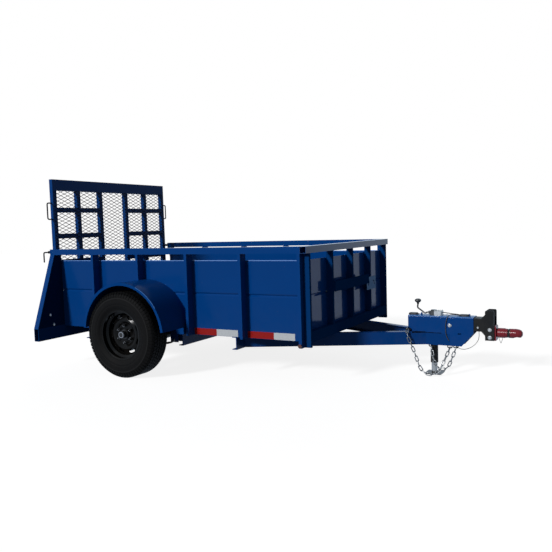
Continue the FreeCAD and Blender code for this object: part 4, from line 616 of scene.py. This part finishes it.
zigzag = put(net_tree, "GeometryNodeMeshToCurve", {"Mesh": zigzag.outputs[0]})
section = {"Width": given["Strand"], "Height": given["Strand"]}
section = put(net_tree, "GeometryNodeCurvePrimitiveQuadrilateral", section)
strand = {"Curve": zigzag.outputs[0], "Profile Curve": section.outputs[0], "Fill Caps": True}
strand = put(net_tree, "GeometryNodeCurveToMesh", strand).outputs[0]
mirrored = put(net_tree, "GeometryNodeTransform", {"Geometry": strand, "Rotation": (0.0, math.pi, 0.0)})
rise = shifted(net_tree, Z=given["Diamond height"])
rows = put(net_tree, "GeometryNodeMeshLine", {"Count": given["Rows"], "Offset": rise}, mode="OFFSET")
rows = {"Points": rows.outputs[0], "Instance": joined(net_tree, strand, mirrored.outputs[0])}
rows = put(net_tree, "GeometryNodeInstanceOnPoints", rows)
finish(net_tree, rows.outputs[0], given["Finish"])
net_low, net_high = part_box("gate_mesh")
values = {
    "Diamond length": (net_high[1] - net_low[1] - 2 * NET_EDGE) / DIAMOND_COLUMNS,
    "Diamond height": (net_high[2] - net_low[2] - 2 * NET_EDGE) / DIAMOND_ROWS,
    "Strand": STRAND_WIDTH, "Steps": 2 * DIAMOND_COLUMNS + 1, "Rows": DIAMOND_ROWS + 1, "Finish": net_paint,
}
seed = bpy.data.meshes.new("net_seed")
net = grown("expanded_steel_net", net_tree, net_ids, values, seed, "gate")
corner = ((net_low[0] + net_high[0]) / 2, net_low[1] + NET_EDGE, net_low[2] + NET_EDGE)
net.data.transform(Matrix.Translation(corner))
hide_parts("gate_mesh")

# Springs: leaf springs over a tube axle, held to it by plated U-bolts, and hung by eye bolts
# whose nuts face outwards.
WHEEL_X = FRONT - 1.545
EYE_SPAN = 0.295  # from the axle to each eye
EYE_HEIGHT = 0.270
EYE_NUT = (0.021, 0.011, 0.0135)
galvanised, tree, shader, spot = surface("worn_zinc_bar", 0.3, metal=0.9)
cloud = noise(tree, spot, scale=70.0, detail=6.0)
tone = blended(tree, ranged(tree, cloud, 0.35, 0.65), (0.065, 0.067, 0.069, 1), (0.23, 0.235, 0.24, 1))
coloured(tree, shader, tone, cloud, strength=0.4, distance=0.0005)
tree.links.new(ranged(tree, cloud, least=0.20, most=0.42), shader.inputs["Roughness"])
dress(galvanised, "spring_clamps")
hanger_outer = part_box("spring_hangers")[1][1]
eyes = [(side, end) for side in (-1, 1) for end in (-EYE_SPAN, EYE_SPAN)]
eye_nuts = [((WHEEL_X + end, side * hanger_outer, EYE_HEIGHT), (0, side, 0)) for side, end in eyes]
fasteners("spring_eye_nuts", eye_nuts, EYE_NUT, galvanised)

# Tyres: radial trailer tyres with ribbed sidewalls, moulded in black rubber. Rows of tread
# blocks stand on a turned casing, and fine fins run round the shoulder.
WHEEL_Y = 1.0025
WHEEL_Z = 0.345
TYRE_SECTION = (  # across from the middle, and out from the axle
    (0.0870, 0.2055), (0.0900, 0.2120), (0.0955, 0.2200), (0.0995, 0.2330), (0.1013, 0.2430), (0.1005, 0.2455),
    (0.1020, 0.2480), (0.1024, 0.2600), (0.1012, 0.2780), (0.1000, 0.2880), (0.1008, 0.2930), (0.1002, 0.2975),
    (0.0960, 0.3030), (0.0925, 0.3110), (0.0880, 0.3210), (0.0820, 0.3300), (0.0760, 0.3362), (0.0400, 0.3375),
    (0.0000, 0.3378),
)
TYRE_INNER = ((0.0870, 0.1990), (0.0850, 0.1985), (0.0700, 0.1990))
TREAD_ROWS = (  # across, phase, block (high, along, wide), slant, lean, drop
    (0.0, 0.0, (0.0100, 0.0270, 0.0200), 0.35, 0.0, 0.0),
    (0.0290, 0.5, (0.0100, 0.0240, 0.0230), -0.3, 0.0, 0.0),
    (0.0590, 0.0, (0.0100, 0.0230, 0.0250), 0.0, 0.0, 0.0),
    (0.0808, 0.5, (0.0085, 0.0215, 0.0200), 0.0, 0.62, -0.0066),
    (0.0915, 0.5, (0.0060, 0.0200, 0.0220), 0.0, 1.16, -0.0245),
)
TREAD_BLOCKS = 74
TREAD_RADIUS = 0.3395
CASING_STEPS = 96
SHARP_OVER = math.radians(35)
FIN_TURNS = 130.0
FIN_RISE = (0.296, 0.299)
FIN_FALL = (0.312, 0.309)
# Painted highlight: the scuff rib's span and a slightly lighter rubber colour, as if the rib caught the lamp.
SCUFF_RIB_SPAN = (0.2890, 0.2980)
RIB_PAINTED_HIGHLIGHT = (0.0105, 0.0105, 0.0108, 1)
WHEELS = (("right", -1.0), ("left", 1.0))
AXLE = (WHEEL_X, 0.0, WHEEL_Z)
rubber, tree, shader, spot = surface("trailer_tyre_rubber", 0.62, specular=0.045)
flat = put(tree, "ShaderNodeMapping", {"Vector": spot, "Location": (-WHEEL_X, 0.0, -WHEEL_Z)})
flat = split(tree, flat.outputs[0])
plane = shifted(tree, X=flat["X"], Y=flat["Z"])
away = put(tree, "ShaderNodeVectorMath", {0: plane}, operation="LENGTH").outputs["Value"]
turn = put(tree, "ShaderNodeTexGradient", {"Vector": plane}, gradient_type="RADIAL").outputs["Fac"]
fins = reckon(tree, "SINE", reckon(tree, "MULTIPLY", turn, FIN_TURNS * math.tau))
band = reckon(tree, "MULTIPLY", ranged(tree, away, *FIN_RISE), ranged(tree, away, *FIN_FALL))
grit = noise(tree, spot, scale=60.0, detail=8.0, roughness=0.7)
height = reckon(tree, "MULTIPLY_ADD", grit, 0.8, reckon(tree, "MULTIPLY", fins, band))
tone = blended(tree, grit, (0.0024, 0.0024, 0.0026, 1), (0.0052, 0.0052, 0.0055, 1))
dusty = grouped(tree, road_dust, Place=spot, Reach=0.75, Amount=0.04)["Mask"]
coloured(tree, shader, blended(tree, dusty, tone, (0.075, 0.065, 0.055, 1)), height, strength=0.7, distance=0.0008)
# Painted highlight: the scuff rib round each sidewall is painted a little lighter than the rest of the rubber.
rib_highlighted_rubber = banded(rubber, "tyre_rubber_with_painted_rib_highlight", AXLE, (SCUFF_RIB_SPAN,), RIB_PAINTED_HIGHLIGHT)

inputs = {"Blocks": "Int", "Radius": "Float", "Finish": "Material"}
tread_tree, tread_ids, given = growing_tree("tyre_tread", "Casing", "Tyre", inputs)
ring = put(tread_tree, "GeometryNodeMeshCircle", {"Vertices": given["Blocks"], "Radius": given["Radius"]})
outward = tread_tree.nodes.new("GeometryNodeInputPosition").outputs[0]
radial = put(tread_tree, "FunctionNodeAlignRotationToVector", {"Vector": outward}, axis="X", pivot_axis="Z")


def moved_by(tree, geometry, **how):
    """Geometry with a Rotation or a Translation."""
    return put(tree, "GeometryNodeTransform", {"Geometry": geometry, **how}).outputs[0]


rows = []
for across, phase, size, slant, lean, drop in TREAD_ROWS:
    for side in (1, -1) if across else (1,):
        block = put(tread_tree, "GeometryNodeMeshCube", {"Size": size}).outputs[0]
        block = moved_by(tread_tree, block, Rotation=(slant, 0.0, 0.0))
        block = moved_by(tread_tree, block, Rotation=(0.0, -side * lean, 0.0))
        block = moved_by(tread_tree, block, Translation=(drop, 0.0, side * across))
        row = {"Points": ring.outputs[0], "Instance": block, "Rotation": radial.outputs[0]}
        row = put(tread_tree, "GeometryNodeInstanceOnPoints", row).outputs[0]
        rows.append(moved_by(tread_tree, row, Rotation=(0.0, 0.0, phase * math.tau / TREAD_BLOCKS)))
finish(tread_tree, joined(tread_tree, given["Casing"], *rows), given["Finish"])


def ring_mesh(name, loop, steps):
    """A closed section of (across, radius) points turned about the Z axis."""
    points = []
    faces = []
    count = len(loop)
    for step in range(steps):
        angle = math.tau * step / steps
        points += [(radius * math.cos(angle), radius * math.sin(angle), across) for across, radius in loop]
        base, after = step * count, (step + 1) % steps * count
        faces += [(base + k, base + (k + 1) % count, after + (k + 1) % count, after + k) for k in range(count)]
    made = bpy.data.meshes.new(name)
    made.from_pydata(points, [], faces)
    shape = bmesh.new()
    shape.from_mesh(made)
    bmesh.ops.recalc_face_normals(shape, faces=shape.faces)
    shape.to_mesh(made)
    shape.free()
    return made


loop = list(TYRE_SECTION) + [(-across, radius) for across, radius in reversed(TYRE_SECTION[:-1])]
loop += [(-across, radius) for across, radius in TYRE_INNER] + list(reversed(TYRE_INNER))
values = {"Blocks": TREAD_BLOCKS, "Radius": TREAD_RADIUS, "Finish": rib_highlighted_rubber}
for side, way in WHEELS:
    casing = ring_mesh("tyre_" + side + "_casing", loop, CASING_STEPS)
    tyre = grown(
        "tyre_" + side + "_treaded", tread_tree, tread_ids, values, casing, "wheel_" + side, smooth=True
    )
    place = Matrix.Translation((WHEEL_X, way * WHEEL_Y, WHEEL_Z))
    tyre.data.transform(place @ Matrix.Rotation(math.pi / 2, 4, "X"))
    tyre.data.set_sharp_from_angle(angle=SHARP_OVER)
    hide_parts("tyre_" + side)

# Wheels: pressed steel discs and hubs in gloss black, with zinc-plated wheel nuts, a bright
# ring round the grease cap, and a rubber valve stem through each rim.
WHEEL_BLACK = (0.0024, 0.0024, 0.0026, 1)
HUB_BLACK = (0.012, 0.012, 0.012, 1)
PLATED = (0.30, 0.30, 0.31, 1)
PLATED_RINGS = ((0.0190, 0.0250), (0.0450, 0.0700))
VALVE_STEM = (0.0075, 0.030, 0.006)
VALVE_TURN = 2.2
VALVE_AWAY = 0.170
VALVE_OUT = 0.038
wheel_black = painted(
    "wheel_gloss_black", WHEEL_BLACK, gloss=(0.10, 0.24), specular=0.10, dust=0.05, wave=0.2, spread=0.3
)
hub_black = painted("hub_gloss_black", HUB_BLACK, gloss=(0.08, 0.18), specular=0.40, dust=0.05, wave=0.1, spread=0.3)
dress(wheel_black, "rim_right", "rim_left")
dress(banded(hub_black, "hub_black_with_zinc_nuts", AXLE, PLATED_RINGS, PLATED, metal=0.9), "hub_right", "hub_left")
stem_x = WHEEL_X + VALVE_AWAY * math.cos(VALVE_TURN)
stem_z = WHEEL_Z + VALVE_AWAY * math.sin(VALVE_TURN)
for side, way in WHEELS:
    stem = [((stem_x, way * (WHEEL_Y + VALVE_OUT), stem_z), (0, way, 0))]
    fasteners("valve_stem_" + side, stem, VALVE_STEM, soft_black, "wheel_" + side, 10)

# Tongue: the surge brake's folded case on the two beams, with its black slide, the bolted
# coupler channel and the red cast coupler head.
CASE_EDGE = 0.4455
CASE_EDGE_HIGHLIGHT = (0.040, 0.125, 0.330, 1)
CASE_LOW_BLUE = (0.0007, 0.030, 0.140, 1)
CASE_SHADOW_TOP = 0.3260
CASE_SHADOW_END = FRONT + 0.735
LOW_PART_END = FRONT + 0.800
COUPLER_RED = (0.150, 0.008, 0.014, 1)
COUPLER_RING = (1.206, 1.224)
RING_DARK = (0.010, 0.009, 0.009, 1)
CASE_BOLTS = ((0.797, 0.0600, 0.385), (1.088, 0.0540, 0.365), (1.088, 0.0540, 0.308))  # ahead, out and up
CASE_BOLT = (0.019, 0.009, 0.0140)
SLIDE_PIN = (1.003, 0.0547, 0.378)
SLIDE_PIN_NUT = (0.012, 0.007, 0.0080)
STUD_PLACES = (0.567, 0.931)
STUD_HEIGHT = 0.452
STUD = (0.012, 0.014, 0.0085)
NIPPLE_PLACE = (FRONT + 1.226, -0.0300, 0.3575)
NIPPLE = (0.0050, 0.006, 0.0040)
# Painted highlight: the case's top edge and top face are a lighter blue, as if they caught the lamp and the sky.
case_blue = banded(side_blue, "case_with_painted_top_highlight", "Z", ((CASE_EDGE, BEYOND),), CASE_EDGE_HIGHLIGHT)
low_part = {"X": (-BEYOND, LOW_PART_END)}
case_blue = banded(case_blue, "case_over_the_beams", "Z", ((-BEYOND, SEAM_LOW),), CASE_LOW_BLUE, kept=low_part)
# Painted shadow: a thin near-black line on the case just above the beams, standing in for the shadow under its
# overhang.
shadow_band = ((SEAM_LOW, CASE_SHADOW_TOP),)
shadow_part = {"X": (-BEYOND, CASE_SHADOW_END)}
case_blue = banded(case_blue, "case_with_painted_shadow_over_the_beams", "Z", shadow_band, CASE_SHADOW_DARK, kept=shadow_part)
dress(case_blue, "actuator_case")
dress(soft_black, "case_caps")
red = painted("coupler_red_coat", COUPLER_RED, gloss=(0.12, 0.3), specular=0.22, dust=0.05, wave=0.3)
ring_band = (tuple(FRONT + along for along in COUPLER_RING),)
dress(banded(red, "coupler_red_coat_with_ring", "X", ring_band, RING_DARK), "coupler_collar", "coupler_head")
case_bolts = [
    ((FRONT + ahead, side * out, up), (0, side, 0)) for side in (-1, 1) for ahead, out, up in CASE_BOLTS
]
fasteners("case_and_channel_bolts", case_bolts, CASE_BOLT, zinc)
ahead, out, up = SLIDE_PIN
pin_nuts = [((FRONT + ahead, side * out, up), (0, side, 0)) for side in (-1, 1)]
fasteners("slide_pin_nuts", pin_nuts, SLIDE_PIN_NUT, zinc)
studs = [((FRONT + ahead, 0, STUD_HEIGHT), (0, 0, 1)) for ahead in STUD_PLACES]
fasteners("case_studs", studs, STUD, side_blue)
brass, tree, shader, spot = surface("brass_nipple", 0.28, metal=0.9)
tone = blended(tree, noise(tree, spot, scale=200.0, detail=4.0), (0.12, 0.085, 0.035, 1), (0.30, 0.22, 0.10, 1))
tree.links.new(tone, shader.inputs["Base Color"])
fasteners("grease_nipple", [(NIPPLE_PLACE, (0, -0.85, 0.53))], NIPPLE, brass, sides=8)

# Coupler clip and brake lever: a sprung wire clip under the coupler head, and a bent rod with
# its pin over the case.
CLIP_ROUTE = (
    (1.143, 0, 0.306), (1.144, 0, 0.294), (1.154, 0, 0.268), (1.1565, 0, 0.261), (1.159, 0, 0.268),
    (1.169, 0, 0.294), (1.170, 0, 0.306),
)
CLIP_RADIUS = 0.0015
LEVER_ROUTE = ((0.722, 0, 0.475), (0.765, 0, 0.472), (0.801, 0, 0.466), (0.840, 0, 0.465), (0.866, 0, 0.459))
LEVER_RADIUS = 0.0032
PIN_ROUTE = ((0.769, -0.030, 0.4515), (0.769, -0.030, 0.463), (0.769, -0.020, 0.471), (0.769, 0, 0.471))
PIN_RADIUS = 0.0020


def bent_wire(name, points, radius, material):
    """A stiff wire on the chassis, made a plain mesh."""
    holder = standing(name + "_curve", round_line(name, points, radius, 2))
    mesh = bpy.data.meshes.new_from_object(holder.evaluated_get(bpy.context.evaluated_depsgraph_get()))
    bpy.data.objects.remove(holder)
    mesh.materials.clear()
    mesh.materials.append(material)
    made = standing(name, mesh)
    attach(made, "chassis")


bent_wire("coupler_clip", CLIP_ROUTE, CLIP_RADIUS, strands)
bent_wire("brake_lever_rod", LEVER_ROUTE, LEVER_RADIUS, black)
bent_wire("lever_pin", PIN_ROUTE, PIN_RADIUS, galvanised)

# Tongue jack: a black tube welded between the beams, its zinc-plated leg and foot, and a
# cast head with a bent crank.
KNOB_LOW = 0.510
KNOB_BLACK = (0.008, 0.008, 0.008, 1)
HEAD_SHADED_TO = FRONT + 0.672
HEAD_SHADED = (0.060, 0.062, 0.064, 1)
FOOT_THICK = 0.016
FOOT_GREY = (0.050, 0.051, 0.053, 1)
HEAD_TOP = 0.486
LID_SCREWS = ((0.700, -0.022), (0.700, 0.022), (0.720, -0.022), (0.720, 0.022))  # ahead and across
LID_SCREW = (0.009, 0.005, 0.0065)
crank_steel, tree, shader, spot = surface("crank_steel", 0.35, metal=0.5)
wear = noise(tree, spot, scale=120.0, detail=5.0)
tone = blended(tree, wear, (0.030, 0.030, 0.032, 1), (0.120, 0.118, 0.115, 1))
coloured(tree, shader, tone, wear, strength=0.4, distance=0.0006)
dress(banded(crank_steel, "crank_steel_and_knob", "Z", ((KNOB_LOW, BEYOND),), KNOB_BLACK), "jack_crank")
dress(banded(zinc, "jack_head_zinc", "X", ((-BEYOND, HEAD_SHADED_TO),), HEAD_SHADED, metal=0.7), "jack_head")
leg_zinc, tree, shader, spot = surface("jack_leg_zinc", 0.38, metal=0.7)
streak = put(tree, "ShaderNodeMapping", {"Vector": spot, "Scale": (40.0, 40.0, 3.0)})
streak = noise(tree, streak.outputs[0], scale=2.0, detail=4.0)
tone = blended(tree, streak, (0.20, 0.21, 0.215, 1), (0.46, 0.47, 0.48, 1))
coloured(tree, shader, tone, streak, strength=0.2, distance=0.0006)
foot_band = ((-BEYOND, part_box("jack_leg")[0][2] + FOOT_THICK),)
dress(banded(leg_zinc, "jack_leg_and_foot", "Z", foot_band, FOOT_GREY, metal=0.4), "jack_leg")
lid_screws = [((FRONT + ahead, across, HEAD_TOP), (0, 0, 1)) for ahead, across in LID_SCREWS]
fasteners("jack_lid_screws", lid_screws, LID_SCREW, zinc)

# Safety chains: welded links of zinc-plated round bar, hung in staples on the beams. Each
# link lies across its neighbours and hangs in them.
LINK_LENGTH = 0.052
LINK_WIDTH = 0.027
LINK_WIRE = 0.0074
BEND_SIDES = 16
WIRE_SIDES = 8


def separate_pieces(mesh):
    """The points of each separate piece of a mesh."""
    shape = bmesh.new()
    shape.from_mesh(mesh)
    bmesh.ops.remove_doubles(shape, verts=shape.verts, dist=1e-5)
    reached = set()
    pieces = []
    for first in shape.verts:
        if first in reached:
            continue
        reached.add(first)
        piece = [first]
        for vertex in piece:
            for edge in vertex.link_edges:
                other = edge.other_vert(vertex)
                if other not in reached:
                    reached.add(other)
                    piece.append(other)
        pieces.append(np.array([vertex.co[:] for vertex in piece]))
    shape.free()
    return pieces


centres, along_axes, flat_axes = [], [], []
for points in separate_pieces(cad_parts["safety_chains"].data):
    middle = points.mean(axis=0)
    axes = np.linalg.eigh(np.cov((points - middle).T))[1]
    centres.append(tuple(middle))
    along_axes.append(tuple(axes[:, 2]))
    flat_axes.append(tuple(axes[:, 0]))
inputs = {"Length": "Float", "Width": "Float", "Wire": "Float", "Finish": "Material"}
chain_tree, chain_ids, given = growing_tree("chain_links", "Places", "Links", inputs)
bend_radius = reckon(chain_tree, "SUBTRACT", given["Width"], given["Wire"])
bend_radius = reckon(chain_tree, "MULTIPLY", bend_radius, 0.5)
bend = put(chain_tree, "GeometryNodeCurvePrimitiveCircle", {"Resolution": BEND_SIDES, "Radius": bend_radius})
straight = reckon(chain_tree, "MULTIPLY", reckon(chain_tree, "SUBTRACT", given["Length"], given["Width"]), 0.5)
where = split(chain_tree, chain_tree.nodes.new("GeometryNodeInputPosition").outputs[0])
pull = shifted(chain_tree, X=reckon(chain_tree, "MULTIPLY", reckon(chain_tree, "SIGN", where["X"]), straight))
link = put(chain_tree, "GeometryNodeSetPosition", {"Geometry": bend.outputs[0], "Offset": pull})
section = {"Resolution": WIRE_SIDES, "Radius": reckon(chain_tree, "MULTIPLY", given["Wire"], 0.5)}
section = put(chain_tree, "GeometryNodeCurvePrimitiveCircle", section)
link = {"Curve": link.outputs[0], "Profile Curve": section.outputs[0]}
link = put(chain_tree, "GeometryNodeCurveToMesh", link)
axes = {
    place: put(chain_tree, "GeometryNodeInputNamedAttribute", {"Name": key}, data_type="FLOAT_VECTOR").outputs[0]
    for place, key in enumerate(("along", "flat"))
}
turned = put(chain_tree, "FunctionNodeAxesToRotation", axes, primary_axis="X", secondary_axis="Z")
links = set_on(chain_tree, given["Places"], link.outputs[0], turned.outputs["Rotation"])
finish(chain_tree, links, given["Finish"])
values = {"Length": LINK_LENGTH, "Width": LINK_WIDTH, "Wire": LINK_WIRE, "Finish": galvanised}
chain_places = pointing("chain_places", centres, {"along": along_axes, "flat": flat_axes})
links = grown("zinc_chain_links", chain_tree, chain_ids, values, chain_places, "chassis", smooth=True)
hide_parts("safety_chains")

# Lamps: amber side lamps on the sills and red tail lamps in the rear posts, moulded with fine
# crossed ribs.
LENSES = (
    ("amber", "marker_lamps", (0.17, 0.040, 0.010, 1), (0.04, 0.009, 0.004, 1)),
    ("red", "tail_lamps", (0.42, 0.008, 0.008, 1), (0.12, 0.002, 0.002, 1)),
)
for name, lamps, colour, deep in LENSES:
    moulded, tree, shader, spot = surface(name + "_lens", 0.12, specular=0.6)
    ribs = [
        put(tree, "ShaderNodeTexWave", {"Vector": spot, "Scale": 60.0}, bands_direction=way).outputs["Fac"]
        for way in ("X", "Z")
    ]
    crossed = reckon(tree, "MULTIPLY", *ribs)
    coloured(tree, shader, blended(tree, crossed, deep, colour), crossed, strength=0.4, distance=0.001)
    dress(moulded, lamps)

# Reflective tape: strips of red and white prism film stuck along the side sheets, above the
# sills.
TAPE_LOW = 0.3315
TAPE_HIGH = 0.3830
TAPES = (
    ("red", ((-0.3935, -0.1815), (0.0880, 0.3305)), (0.300, 0.012, 0.010, 1), 0.10),
    ("white", ((-0.1815, 0.0145), (0.3305, 0.5075)), (0.50, 0.53, 0.56, 1), 0.40),
)
PRISM_SHADE = 0.55
tape_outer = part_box("tape_red")[1][1]
sheet_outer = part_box("side_panels")[1][1]
for name, spans, colour, shine in TAPES:
    film, tree, shader, spot = surface(name + "_prism_film", 0.25, specular=shine)
    prisms = {"Vector": spot, "Scale": 150.0, "Randomness": 0.25}
    prisms = put(tree, "ShaderNodeTexVoronoi", prisms, feature="F1").outputs["Distance"]
    dark = tuple(PRISM_SHADE * value for value in colour[:3]) + (1,)
    coloured(tree, shader, blended(tree, prisms, colour, dark), prisms, strength=0.3, distance=0.0005)
    strips = bmesh.new()
    for side in (-1, 1):
        for rear_end, front_end in spans:
            across = side * (tape_outer + sheet_outer) / 2
            centre = Vector(((rear_end + front_end) / 2, across, (TAPE_LOW + TAPE_HIGH) / 2))
            size = Vector((front_end - rear_end, tape_outer - sheet_outer, TAPE_HIGH - TAPE_LOW))
            place = Matrix.Translation(centre) @ Matrix.Diagonal(size).to_4x4()
            bmesh.ops.create_cube(strips, size=1.0, matrix=place)
    strip_mesh = bpy.data.meshes.new(name + "_tape_strips")
    strips.to_mesh(strip_mesh)
    strips.free()
    strip_mesh.materials.append(film)
    tape = standing(name + "_tape_strips", strip_mesh)
    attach(tape, "chassis")
    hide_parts("tape_" + name)
